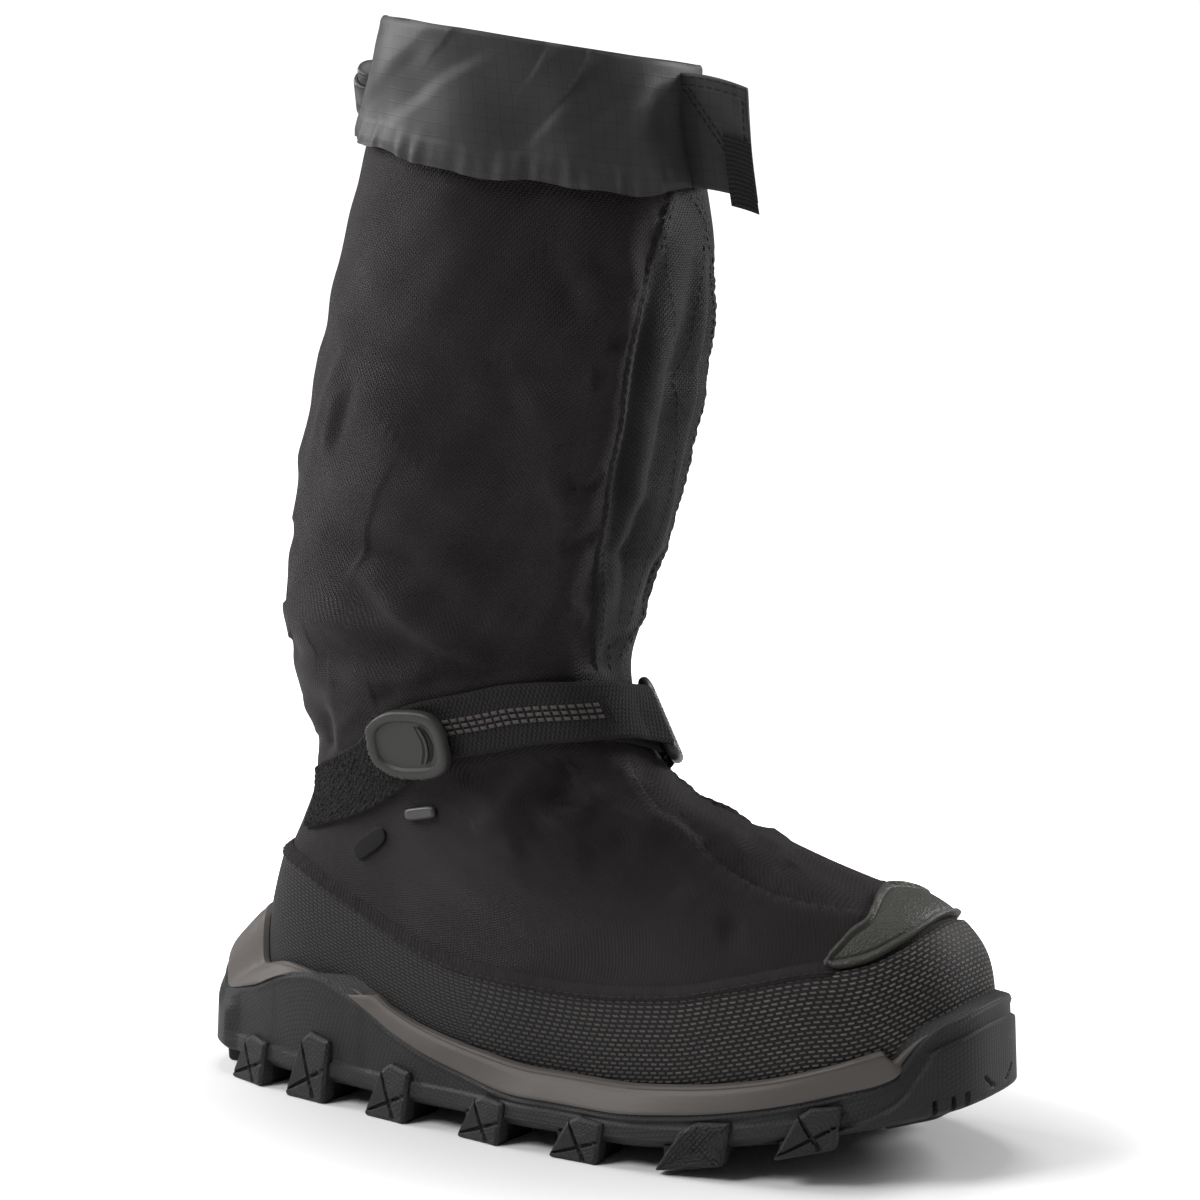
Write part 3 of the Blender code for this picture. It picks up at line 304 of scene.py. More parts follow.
def shellPart(outer, inner, closed):
    # Closed wall between two grids with the same columns; an open wall also needs the same rows
    rows, columns = outer.shape[:2]
    a = np.arange(rows * columns).reshape(rows, columns)
    b = rows * columns + np.arange(inner.shape[0] * columns).reshape(-1, columns)
    uvA, uvB = uvOf(outer, closed), uvOf(inner, closed)
    faces = [(quadGrid(a, closed), gridUv(uvA)), (quadGrid(b, closed, True), gridUv(uvB, True)),
             (quadGrid(np.stack([a[-1], b[-1]]), closed), gridUv(np.stack([uvA[-1], uvA[-1]]))),
             (quadGrid(np.stack([b[0], a[0]]), closed), gridUv(np.stack([uvA[0], uvA[0]])))]
    if not closed:
        faces.append((quadGrid(np.stack([a[:, 0], b[:, 0]]), False), None))
        faces.append((quadGrid(np.stack([b[:, -1], a[:, -1]]), False), None))
    return np.concatenate([outer.reshape(-1, 3), inner.reshape(-1, 3)]), faces


def ringsPart(rings):
    # Closed body from rings joined one after another, each end closed by a fan; rings run anticlockwise
    rings = np.asarray(rings, float)
    rows, columns = rings.shape[:2]
    grid = np.arange(rows * columns).reshape(rows, columns)
    faces = [(quadGrid(grid, True), gridUv(uvOf(rings, True)))]
    points = rings.reshape(-1, 3)
    for ring, edge, before in ((rings[:1], grid[0], True), (rings[-1:], grid[-1], False)):
        points = np.concatenate([points, ring.mean(1)])
        pair = [np.roll(edge, -1), edge] if before else [edge, np.roll(edge, -1)]
        faces.append((np.stack(pair + [np.full(columns, len(points) - 1)], -1), None))
    return points, faces


def makePiece(name, parts, finish, replaced=(), sharp=50, marks=None):
    # Joins closed parts to one piece, gives it its finish, and rides it on the shoe
    points, loops, starts, uvs = [], [], [], []
    base = loopCount = 0
    for partPoints, faceSets in parts:
        points.append(partPoints)
        for faces, uv in faceSets:
            faces = np.asarray(faces)
            sides = faces.shape[1]
            loops.append(faces.reshape(-1) + base)
            starts.append(loopCount + sides * np.arange(len(faces)))
            uvs.append((np.zeros((faces.size, 2)) if uv is None else uv.reshape(-1, 2)) * mm)
            loopCount += faces.size
        base += len(partPoints)
    points, loops, starts, uvs = (np.concatenate(each) for each in (points, loops, starts, uvs))
    mesh = bpy.data.meshes.new(name)
    mesh.vertices.add(len(points))
    mesh.vertices.foreach_set("co", (points * mm).astype(np.float32).ravel())
    mesh.loops.add(len(loops))
    mesh.loops.foreach_set("vertex_index", loops.astype(np.int32))
    mesh.polygons.add(len(starts))
    mesh.polygons.foreach_set("loop_start", starts.astype(np.int32))
    mesh.update(calc_edges=True)
    layer = mesh.uv_layers.new(name="cloth")
    layer.uv.foreach_set("vector", uvs.astype(np.float32).ravel())
    for mark, values in (marks or {}).items():
        attribute = mesh.attributes.new(mark, "FLOAT", "POINT")
        attribute.data.foreach_set("value", np.asarray(values, np.float32).ravel())
    mesh.validate()
    mesh.shade_smooth()
    mesh.set_sharp_from_angle(angle=math.radians(sharp))
    mesh.materials.append(finish)
    piece = bpy.data.objects.new(name, mesh)
    bpy.context.scene.collection.objects.link(piece)
    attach(piece, root)
    if replaced:
        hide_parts(*replaced)


def stitchParts(starts, ends, outs, radius, sides=6):
    # Rows of short thread capsules between two lists of points
    starts, ends, outs = (np.asarray(each, float).reshape(-1, 3) for each in (starts, ends, outs))
    run = unit(ends - starts)
    across = unit(np.cross(run, outs))
    lift = np.cross(across, run)
    length = np.linalg.norm(ends - starts, axis=1, keepdims=True)
    around = np.arange(sides) * 2 * np.pi / sides
    rings = []
    for place, size in ((0.0, 0.35), (0.14, 1.0), (0.5, 1.15), (0.86, 1.0), (1.0, 0.35)):
        sink = -radius * 0.5 * (abs(place - 0.5) * 2) ** 2
        middle = starts + run * length * place + outs * sink
        ring = [middle + (across * math.cos(a) - lift * math.sin(a)) * radius * size for a in around]
        rings.append(np.stack(ring, 1))
    rings = np.stack(rings, 1)
    count = len(starts)
    per = rings.shape[1] * sides
    grid = np.arange(per).reshape(rings.shape[1], sides)
    body = quadGrid(grid, True)
    caps = [np.stack([np.full(sides - 2, ring[0]), ring[1:-1], np.roll(ring, -2)[:sides - 2]], -1)
            for ring in (grid[0], grid[-1])]
    shift = (np.arange(count) * per)[:, None, None]
    return rings.reshape(-1, 3), [((part[None] + shift).reshape(-1, part.shape[1]), None)
                                  for part in (body, caps[0][:, [0, 2, 1]], caps[1])]


print("surface ready")


# Shader node groups
def socketIn(tree, name, kind="NodeSocketFloat", value=None):
    made = tree.interface.new_socket(name, in_out="INPUT", socket_type=kind)
    if value is not None:
        made.default_value = value


def newGroup(name, inputs, outputs):
    tree = bpy.data.node_groups.new(name, "ShaderNodeTree")
    socketIn(tree, "Vector", "NodeSocketVector")
    for label, value in inputs:
        socketIn(tree, label, value=value)
    for label in outputs:
        tree.interface.new_socket(label, in_out="OUTPUT", socket_type="NodeSocketFloat")
    return tree, tree.nodes.new("NodeGroupInput"), tree.nodes.new("NodeGroupOutput")


def plug(tree, value, socket):
    if isinstance(value, bpy.types.NodeSocket):
        tree.links.new(value, socket)
    else:
        socket.default_value = value


def maths(tree, operation, a, b=None, c=None):
    made = tree.nodes.new("ShaderNodeMath")
    made.operation = operation
    for i, value in enumerate((a, b, c)):
        if value is not None:
            plug(tree, value, made.inputs[i])
    return made.outputs[0]


def times(tree, a, b):
    return maths(tree, "MULTIPLY", a, b)


def plus(tree, a, b):
    return maths(tree, "ADD", a, b)


def minus(tree, a, b):
    return maths(tree, "SUBTRACT", a, b)


def waveOf(tree, value):
    return maths(tree, "SINE", times(tree, value, math.pi))


def offCentre(tree, value):
    # Distance from the middle of each whole step
    return maths(tree, "ABSOLUTE", minus(tree, maths(tree, "FRACT", value), 0.5))


def between(tree, value, low, high):
    # 0 under low, 1 over high, soft between
    made = tree.nodes.new("ShaderNodeMapRange")
    made.interpolation_type = "SMOOTHSTEP"
    plug(tree, value, made.inputs["Value"])
    plug(tree, low, made.inputs["From Min"])
    plug(tree, high, made.inputs["From Max"])
    return made.outputs["Result"]


def noiseOf(tree, vector, scale, detail=3.0, roughness=0.55):
    made = tree.nodes.new("ShaderNodeTexNoise")
    plug(tree, vector, made.inputs["Vector"])
    plug(tree, scale, made.inputs["Scale"])
    made.inputs["Detail"].default_value = detail
    made.inputs["Roughness"].default_value = roughness
    return made.outputs["Fac"]


def cellsOf(tree, vector, pitch, wobble):
    # Place in a grid of cells: x, y and the row number, with threads that waver a little
    split = tree.nodes.new("ShaderNodeSeparateXYZ")
    plug(tree, vector, split.inputs[0])
    waver = times(tree, minus(tree, noiseOf(tree, vector, 180.0, 1.0), 0.5), wobble)
    x = plus(tree, maths(tree, "DIVIDE", split.outputs[0], pitch[0]), waver)
    y = plus(tree, maths(tree, "DIVIDE", split.outputs[1], pitch[1]), waver)
    return x, y, maths(tree, "FLOOR", y)


def plainWeaveGroup():
    # Warp and weft threads that cross over and under
    tree, ins, outs = newGroup("plain weave", (("Pitch", 0.0006), ("Wobble", 0.5)), ("Height", "Mottle"))
    pitch = ins.outputs["Pitch"]
    x, y, _ = cellsOf(tree, ins.outputs["Vector"], (pitch, pitch), ins.outputs["Wobble"])
    sx = waveOf(tree, x)
    sy = waveOf(tree, y)
    over = maths(tree, "GREATER_THAN", times(tree, sx, sy), 0.0)
    warp, weft = maths(tree, "ABSOLUTE", sx), maths(tree, "ABSOLUTE", sy)
    height = maths(tree, "MULTIPLY_ADD", over, minus(tree, warp, weft), weft)
    plug(tree, height, outs.inputs["Height"])
    plug(tree, noiseOf(tree, ins.outputs["Vector"], 55.0, 4.0), outs.inputs["Mottle"])
    return tree


def ripstopGroup():
    # Fine cloth with a raised thread every few millimetres each way
    inputs = (("Grid", 0.0046), ("Pitch", 0.00035), ("Width", 0.06))
    tree, ins, outs = newGroup("ripstop", inputs, ("Height", "Line"))
    grid, pitch = ins.outputs["Grid"], ins.outputs["Pitch"]
    x, y, _ = cellsOf(tree, ins.outputs["Vector"], (grid, grid), 0.02)
    lines = []
    for place in (x, y):
        off = offCentre(tree, place)
        lines.append(between(tree, off, ins.outputs["Width"], times(tree, ins.outputs["Width"], 0.3)))
    line = maths(tree, "MAXIMUM", *lines)
    fx, fy, _ = cellsOf(tree, ins.outputs["Vector"], (pitch, pitch), 0.6)
    fine = times(tree, waveOf(tree, fx),
                 waveOf(tree, fy))
    plug(tree, maths(tree, "MULTIPLY_ADD", fine, 0.22, times(tree, line, 0.5)), outs.inputs["Height"])
    plug(tree, line, outs.inputs["Line"])
    return tree


def dashGroup():
    # Coarse mesh: long dashes in staggered rows with dark holes between them
    inputs = (("Long", 0.0036), ("Tall", 0.00185), ("Fill", 0.36), ("Stagger", 0.5))
    tree, ins, outs = newGroup("basket mesh", inputs, ("Height", "Dash", "Each"))
    x, y, row = cellsOf(tree, ins.outputs["Vector"], (ins.outputs["Long"], ins.outputs["Tall"]), 0.10)
    x = maths(tree, "MULTIPLY_ADD", row, ins.outputs["Stagger"], x)
    offX = offCentre(tree, x)
    offY = offCentre(tree, y)
    inX = between(tree, offX, plus(tree, ins.outputs["Fill"], 0.10), minus(tree, ins.outputs["Fill"], 0.06))
    inY = between(tree, offY, 0.29, 0.12)
    dash = times(tree, inX, inY)
    place = tree.nodes.new("ShaderNodeCombineXYZ")
    plug(tree, maths(tree, "FLOOR", x), place.inputs[0])
    plug(tree, row, place.inputs[1])
    chance = tree.nodes.new("ShaderNodeTexWhiteNoise")
    chance.noise_dimensions = "2D"
    plug(tree, place.outputs[0], chance.inputs["Vector"])
    plug(tree, dash, outs.inputs["Dash"])
    plug(tree, dash, outs.inputs["Height"])
    plug(tree, chance.outputs["Value"], outs.inputs["Each"])
    return tree


def ribGroup():
    # Webbing: cords along the strap with a zigzag weave across them
    tree, ins, outs = newGroup("webbing", (("Cord", 0.0017), ("Zigzag", 0.0016)), ("Height", "Thread"))
    x, y, _ = cellsOf(tree, ins.outputs["Vector"], (ins.outputs["Zigzag"], ins.outputs["Cord"]), 0.12)
    cord = maths(tree, "ABSOLUTE", waveOf(tree, y))
    side = offCentre(tree, times(tree, y, 0.5))
    slanted = maths(tree, "MULTIPLY_ADD", side, 2.2, x)
    thread = maths(tree, "ABSOLUTE", waveOf(tree, slanted))
    plug(tree, times(tree, cord, maths(tree, "MULTIPLY_ADD", thread, 0.5, 0.5)), outs.inputs["Height"])
    plug(tree, thread, outs.inputs["Thread"])
    return tree


def pebbleGroup():
    # Small rounded pebbles of a moulded leather grain
    tree, ins, outs = newGroup("pebble", (("Size", 0.0013),), ("Height", "Pit"))
    cells = tree.nodes.new("ShaderNodeTexVoronoi")
    cells.feature = "SMOOTH_F1"
    plug(tree, ins.outputs["Vector"], cells.inputs["Vector"])
    plug(tree, maths(tree, "DIVIDE", 1.0, ins.outputs["Size"]), cells.inputs["Scale"])
    cells.inputs["Smoothness"].default_value = 0.25
    edge = between(tree, cells.outputs["Distance"], 0.62, 0.15)
    plug(tree, edge, outs.inputs["Height"])
    plug(tree, minus(tree, 1.0, edge), outs.inputs["Pit"])
    return tree


def scuffGroup():
    # Faint dust and rubbed patches: a soft mask with fine streaks
    tree, ins, outs = newGroup("scuff", (("Amount", 0.3), ("Size", 30.0)), ("Dust", "Speck"))
    broad = noiseOf(tree, ins.outputs["Vector"], ins.outputs["Size"], 5.0, 0.6)
    low = minus(tree, 0.78, times(tree, ins.outputs["Amount"], 0.45))
    plug(tree, between(tree, broad, low, 0.85), outs.inputs["Dust"])
    fine = noiseOf(tree, ins.outputs["Vector"], 1400.0, 2.0)
    plug(tree, between(tree, fine, 0.62, 0.78), outs.inputs["Speck"])
    return tree


groups = {"weave": plainWeaveGroup(), "ripstop": ripstopGroup(), "dash": dashGroup(), "rib": ribGroup(),
          "pebble": pebbleGroup(), "scuff": scuffGroup()}


# Materials
def placeGroup(tree, key, vector, **values):
    made = tree.nodes.new("ShaderNodeGroup")
    made.node_tree = groups[key]
    tree.links.new(vector, made.inputs["Vector"])
    for label, value in values.items():
        made.inputs[label].default_value = value
    return made


def mixColour(tree, amount, first, second):
    made = tree.nodes.new("ShaderNodeMix")
    made.data_type = "RGBA"
    plug(tree, amount, made.inputs["Factor"])
    for socket, colour in ((made.inputs[6], first), (made.inputs[7], second)):
        plug(tree, colour if isinstance(colour, bpy.types.NodeSocket) else (*colour, 1.0), socket)
    return made.outputs[2]


def newFinish(name, roughness, **sockets):
    # Principled material with its plain values, and the place to read textures from
    finish = bpy.data.materials.new(name)
    finish.use_nodes = True
    tree = finish.node_tree
    shader = tree.nodes["Principled BSDF"]
    shader.inputs["Roughness"].default_value = roughness
    for label, value in sockets.items():
        shader.inputs[label.replace("_", " ")].default_value = value
    coordinates = tree.nodes.new("ShaderNodeTexCoord")
    clothMap = tree.nodes.new("ShaderNodeUVMap")
    clothMap.uv_map = "cloth"
    return finish, tree, shader, clothMap.outputs["UV"], coordinates.outputs["Object"]


def dressed(finish, shader, colour, height, strength, distance, rough=None):
    # Joins the colour, the relief and the roughness to the finish's shader
    tree = finish.node_tree
    tree.links.new(colour, shader.inputs["Base Color"])
    if rough is not None:
        tree.links.new(rough, shader.inputs["Roughness"])
    bump = tree.nodes.new("ShaderNodeBump")
    bump.inputs["Strength"].default_value = strength
    bump.inputs["Distance"].default_value = distance
    plug(tree, height, bump.inputs["Height"])
    tree.links.new(bump.outputs["Normal"], shader.inputs["Normal"])
    return finish


def markOf(tree, name):
    made = tree.nodes.new("ShaderNodeAttribute")
    made.attribute_name = name
    return made.outputs["Fac"]


clothLook = {"deep": (.0016, .0013, .0015), "thread": (.0185, .0132, .0148), "gusset": (.0150, .0154, .0178),
             "worn": (.040, .034, .035), "roughness": 0.66, "sheen": 0.03, "pitch": 0.00088}


def clothFinish():
    finish, tree, shader, cloth, place = newFinish(
        "black cloth", clothLook["roughness"], Sheen_Weight=clothLook["sheen"], Sheen_Roughness=0.45,
        Sheen_Tint=(1.0, .90, .92, 1.0), Specular_IOR_Level=0.22)
    weave = placeGroup(tree, "weave", cloth, Pitch=clothLook["pitch"], Wobble=0.55)
    scuff = placeGroup(tree, "scuff", place, Amount=0.25, Size=26.0)
    top = mixColour(tree, markOf(tree, "gusset"), clothLook["thread"], clothLook["gusset"])
    woven = mixColour(tree, weave.outputs["Height"], clothLook["deep"], top)
    rubbed = times(tree, scuff.outputs["Dust"], 0.35)
    colour = mixColour(tree, maths(tree, "MAXIMUM", rubbed, times(tree, markOf(tree, "edge"), 0.5)),
                       woven, clothLook["worn"])
    rough = maths(tree, "MULTIPLY_ADD", weave.outputs["Mottle"], 0.25, clothLook["roughness"] - 0.14)
    return dressed(finish, shader, colour, weave.outputs["Height"], 0.75, 0.00032, rough)


ripstopLook = {"deep": (.030, .029, .029), "thread": (.052, .050, .048), "line": (.014, .0135, .014),
               "roughness": 0.55, "sheen": 0.03}


def ripstopFinish():
    finish, tree, shader, cloth, place = newFinish(
        "grey ripstop", ripstopLook["roughness"], Sheen_Weight=ripstopLook["sheen"], Sheen_Roughness=0.35,
        Specular_IOR_Level=0.45)
    ripstop = placeGroup(tree, "ripstop", cloth, Grid=0.0046, Pitch=0.00036)
    scuff = placeGroup(tree, "scuff", place, Amount=0.3, Size=34.0)
    base = mixColour(tree, scuff.outputs["Dust"], ripstopLook["deep"], ripstopLook["thread"])
    softened = mixColour(tree, times(tree, ripstop.outputs["Height"], 0.5), base, ripstopLook["thread"])
    colour = mixColour(tree, times(tree, ripstop.outputs["Line"], 0.60), softened, ripstopLook["line"])
    return dressed(finish, shader, colour, ripstop.outputs["Height"], 0.35, 0.00018)


meshLook = {"hole": (.0050, .0045, .0048), "dash": (.036, .033, .034), "pale": (.170, .152, .135),
            "roughness": 0.66}


def meshFinish(name, long, tall, fill, stagger, toeHighlight):
    # Mesh of the rand; dashes differ a little from each other, and a painted highlight makes them paler
    # towards the toe, where the forefoot faces the light
    finish, tree, shader, cloth, place = newFinish(name, meshLook["roughness"], Sheen_Weight=0.02,
                                                   Specular_IOR_Level=0.3)
    dash = placeGroup(tree, "dash", cloth, Long=long, Tall=tall, Fill=fill, Stagger=stagger)
    scuff = placeGroup(tree, "scuff", place, Amount=0.4, Size=40.0)
    toe = tree.nodes.new("ShaderNodeSeparateXYZ")
    tree.links.new(place, toe.inputs[0])
    # Painted highlight: the dashes turn paler towards the toe, as the forefoot catches the light
    forward = between(tree, toe.outputs[0], -0.06, 0.16)
    pale = times(tree, maths(tree, "MULTIPLY_ADD", forward, 0.75, 0.12), toeHighlight)
    chance = maths(tree, "MULTIPLY_ADD", dash.outputs["Each"], 0.6, 0.4)
    lit = mixColour(tree, times(tree, pale, chance), meshLook["dash"], meshLook["pale"])
    dusty = mixColour(tree, times(tree, scuff.outputs["Dust"], 0.25), lit, meshLook["pale"])
    colour = mixColour(tree, dash.outputs["Dash"], meshLook["hole"], dusty)
    return dressed(finish, shader, colour, dash.outputs["Height"], 0.8, 0.0006)


webbingLook = {"deep": (.0030, .0026, .0029), "thread": (.025, .0225, .0235), "roughness": 0.86}


def webbingFinish():
    finish, tree, shader, cloth, place = newFinish(
        "black webbing", webbingLook["roughness"], Sheen_Weight=0.03, Sheen_Roughness=0.5,
        Specular_IOR_Level=0.3)
    rib = placeGroup(tree, "rib", cloth, Cord=0.0017, Zigzag=0.0015)
    scuff = placeGroup(tree, "scuff", place, Amount=0.2, Size=60.0)
    woven = mixColour(tree, rib.outputs["Height"], webbingLook["deep"], webbingLook["thread"])
    colour = mixColour(tree, times(tree, scuff.outputs["Dust"], 0.2), woven, clothLook["worn"])
    return dressed(finish, shader, colour, rib.outputs["Height"], 0.8, 0.0004)


rubberLook = {"dark": (.0150, .0151, .0160), "pale": (.026, .0263, .0275), "dust": (.050, .050, .050),
              "roughness": 0.64}


def rubberFinish(name="sole rubber", dark=rubberLook["dark"], pale=rubberLook["pale"], grid=0.0018):
    # Rubber moulded with a fine square texture, with faint dust
    finish, tree, shader, cloth, place = newFinish(name, rubberLook["roughness"], Specular_IOR_Level=0.4)
    ripstop = placeGroup(tree, "ripstop", cloth, Grid=grid, Pitch=0.0004, Width=0.30)
    scuff = placeGroup(tree, "scuff", place, Amount=0.35, Size=45.0)
    base = mixColour(tree, scuff.outputs["Dust"], dark, pale)
    textured = mixColour(tree, times(tree, ripstop.outputs["Line"], 0.85), base, (.005, .005, .006))
    worn = times(tree, markOf(tree, "edge"), 0.7)
    colour = mixColour(tree, worn, textured, rubberLook["dust"])
    rough = maths(tree, "MULTIPLY_ADD", scuff.outputs["Dust"], 0.2, rubberLook["roughness"] - 0.08)
    return dressed(finish, shader, colour, ripstop.outputs["Height"], 0.6, 0.0003, rough)


def smoothRubberFinish(name, dark, pale, roughness, size=0.0016, strength=0.12):
    # Plain moulded rubber or foam with a faint grain
    finish, tree, shader, _, place = newFinish(name, roughness, Specular_IOR_Level=0.4)
    pebble = placeGroup(tree, "pebble", place, Size=size)
    scuff = placeGroup(tree, "scuff", place, Amount=0.45, Size=38.0)
    base = mixColour(tree, scuff.outputs["Dust"], dark, pale)
    worn = times(tree, markOf(tree, "edge"), 0.7)
    rubbed = tuple(min(1.0, c * 1.5) for c in pale)
    colour = mixColour(tree, worn, base, rubbed)
    rough = maths(tree, "MULTIPLY_ADD", scuff.outputs["Dust"], 0.15, roughness - 0.05)
    return dressed(finish, shader, colour, pebble.outputs["Height"], strength, 0.0002, rough)


def fuzzFinish(name, dark, pale, scale=900.0):
    # Brushed loops or felt
    finish, tree, shader, _, place = newFinish(name, 0.95, Sheen_Weight=0.06, Sheen_Roughness=0.6,
                                               Specular_IOR_Level=0.2)
    fine = noiseOf(tree, place, scale, 4.0, 0.7)
    colour = mixColour(tree, between(tree, fine, 0.35, 0.75), dark, pale)
    return dressed(finish, shader, colour, fine, 1.0, 0.0006)


def threadFinish():
    finish, tree, shader, _, place = newFinish("thread", 0.75, Sheen_Weight=0.03, Specular_IOR_Level=0.3)
    fine = noiseOf(tree, place, 2500.0, 2.0)
    colour = mixColour(tree, fine, (.006, .005, .006), (.034, .030, .032))
    return dressed(finish, shader, colour, fine, 0.4, 0.0001)


finishes = {
    "cloth": clothFinish(), "ripstop": ripstopFinish(), "webbing": webbingFinish(), "thread": threadFinish(),
    # The last number of each mesh sets the strength of its painted toe highlight
    "mesh": meshFinish("rand mesh", 0.0033, 0.00170, 0.31, 0.5, 1.0),
    "twill": meshFinish("heel twill", 0.0026, 0.00120, 0.36, 0.28, 0.25),
    "rubber": rubberFinish(),
    # The dark tread rubber also paints the shade inside the pull tab's slots
    "recess": smoothRubberFinish("tread rubber and slot shade", (.005, .005, .006), (.012, .012, .013), 0.75),
    "foam": smoothRubberFinish("midsole foam", (.086, .075, .070), (.112, .099, .092), 0.62),
    "guard": smoothRubberFinish("guard rubber", (.040, .040, .034), (.058, .057, .049), 0.58, 0.0011, 0.8),
    "tab": smoothRubberFinish("tab rubber", (.034, .034, .032), (.048, .048, .045), 0.55),
    "plastic": smoothRubberFinish("grey plastic", (.050, .050, .051), (.075, .075, .076), 0.45),
    "block": smoothRubberFinish("taupe thread", (.085, .074, .072), (.125, .110, .107), 0.85, 0.0008, 0.6),
    "fuzz": fuzzFinish("fuzzy tape", (.0022, .0020, .0022), (.022, .019, .020)),
    "felt": fuzzFinish("insole felt", (.010, .009, .010), (.040, .036, .038), 1600.0),
}
print("materials ready")


# Camera and light, at the photograph's angle
view = {"azimuth": 30.0, "elevation": 10.0, "distance": 1.80, "target": (-0.00058, -0.0025, 0.188),
        "lens": 151.2}
azimuth, elevation = math.radians(view["azimuth"]), math.radians(view["elevation"])
back = Vector((math.sin(azimuth) * math.cos(elevation), -math.cos(azimuth) * math.cos(elevation),
               math.sin(elevation)))
right = Vector((math.cos(azimuth), math.sin(azimuth), 0.0))
target = Vector(view["target"])
cameraData = bpy.data.cameras.new("camera")
cameraData.lens = view["lens"]
cameraData.sensor_width = 36.0
camera = bpy.data.objects.new("camera", cameraData)
bpy.context.scene.collection.objects.link(camera)
camera.rotation_mode = "QUATERNION"
camera.location = target + back * view["distance"]
camera.rotation_quaternion = (-back).to_track_quat("-Z", "Y")
bpy.context.scene.camera = camera
flatBack = Vector((back.x, back.y, 0.0)).normalized()

lights = {
    "keyBox": {"right": -1.05, "front": 0.45, "up": 1.05, "size": 0.7, "power": 17.0},
    "fillBox": {"right": 1.30, "front": 0.55, "up": 0.75, "size": 0.6, "power": 2.5},
    "leftRim": {"right": -1.15, "front": -0.55, "up": 0.55, "size": 0.5, "power": 11.0},
    "rightRim": {"right": 1.15, "front": -0.65, "up": 0.60, "size": 0.5, "power": 13.0},
    "topBox": {"right": 0.0, "front": -0.2, "up": 1.5, "size": 0.6, "power": 7.0},
}
for name, spot in lights.items():
    lamp = bpy.data.lights.new(name, "AREA")
    lamp.energy = spot["power"]
    lamp.size = spot["size"]
    lampObject = bpy.data.objects.new(name, lamp)
    level = target + right * spot["right"] + flatBack * spot["front"]
    lampObject.location = level + Vector((0, 0, spot["up"]))
    lampObject.rotation_mode = "QUATERNION"
    lampObject.rotation_quaternion = (target - lampObject.location).to_track_quat("-Z", "Y")
    bpy.context.scene.collection.objects.link(lampObject)

world = bpy.data.worlds.new("studio")
bpy.context.scene.world = world
world.use_nodes = True
sky = world.node_tree
plainLight = sky.nodes["Background"]
plainLight.inputs["Color"].default_value = (1.0, 1.0, 1.0, 1.0)
plainLight.inputs["Strength"].default_value = 0.09
seen = sky.nodes.new("ShaderNodeBackground")
seen.inputs["Color"].default_value = (1.0, 1.0, 1.0, 1.0)
path = sky.nodes.new("ShaderNodeLightPath")
chosen = sky.nodes.new("ShaderNodeMixShader")
sky.links.new(path.outputs["Is Camera Ray"], chosen.inputs[0])
sky.links.new(plainLight.outputs[0], chosen.inputs[1])
sky.links.new(seen.outputs[0], chosen.inputs[2])
sky.links.new(chosen.outputs[0], sky.nodes["World Output"].inputs["Surface"])
bpy.context.scene.view_settings.view_transform = "Standard"

floorMesh = bpy.data.meshes.new("floor")
reach = 6.0
floorMesh.from_pydata([(-reach, -reach, 0), (reach, -reach, 0), (reach, reach, 0), (-reach, reach, 0)], [],
                      [(0, 1, 2, 3)])
floor = bpy.data.objects.new("floor", floorMesh)
bpy.context.scene.collection.objects.link(floor)
paper, paperTree, paperShader, _, paperPlace = newFinish("studio paper", 0.9, Specular_IOR_Level=0.2)
tone = mixColour(paperTree, noiseOf(paperTree, paperPlace, 3.0), (.86, .86, .86), (.88, .88, .88))
paperTree.links.new(tone, paperShader.inputs["Base Color"])
# As the camera sees it, the paper is plain white away from the shoe and keeps the soft shadow near it
paperSplit = paperTree.nodes.new("ShaderNodeSeparateXYZ")
paperTree.links.new(paperPlace, paperSplit.inputs[0])
offX = maths(paperTree, "DIVIDE", paperSplit.outputs[0], 0.20)
offY = maths(paperTree, "DIVIDE", paperSplit.outputs[1], 0.13)
away = maths(paperTree, "SQRT", plus(paperTree, times(paperTree, offX, offX),
                                      times(paperTree, offY, offY)))
paperPath = paperTree.nodes.new("ShaderNodeLightPath")
glow = times(paperTree, between(paperTree, away, 0.55, 2.1), paperPath.outputs["Is Camera Ray"])
paperTree.links.new(times(paperTree, glow, 1.15), paperShader.inputs["Emission Strength"])
paperShader.inputs["Emission Color"].default_value = (1.0, 1.0, 1.0, 1.0)
floorMesh.materials.append(paper)
print("studio ready")


# Folds, creases and seams of the cloth; a path is a few (share of a turn, share of the rise) points
foldRows = (
    (.460, .62, 88, 1.30, .080, -1.9), (.415, .62, 84, 1.40, .070, 1.1), (.300, .47, 125, .55, .095, 1.7),
    (.240, .42, 128, .50, .090, -1.6), (.330, .58, 130, .35, .080, -1.3),
    (.120, .46, 160, .45, .095, 1.4), (.640, .49, 55, .55, .095, 1.6), (.700, .44, 50, .50, .090, -1.5),
    (.860, .46, 20, .45, .095, 1.4),
)
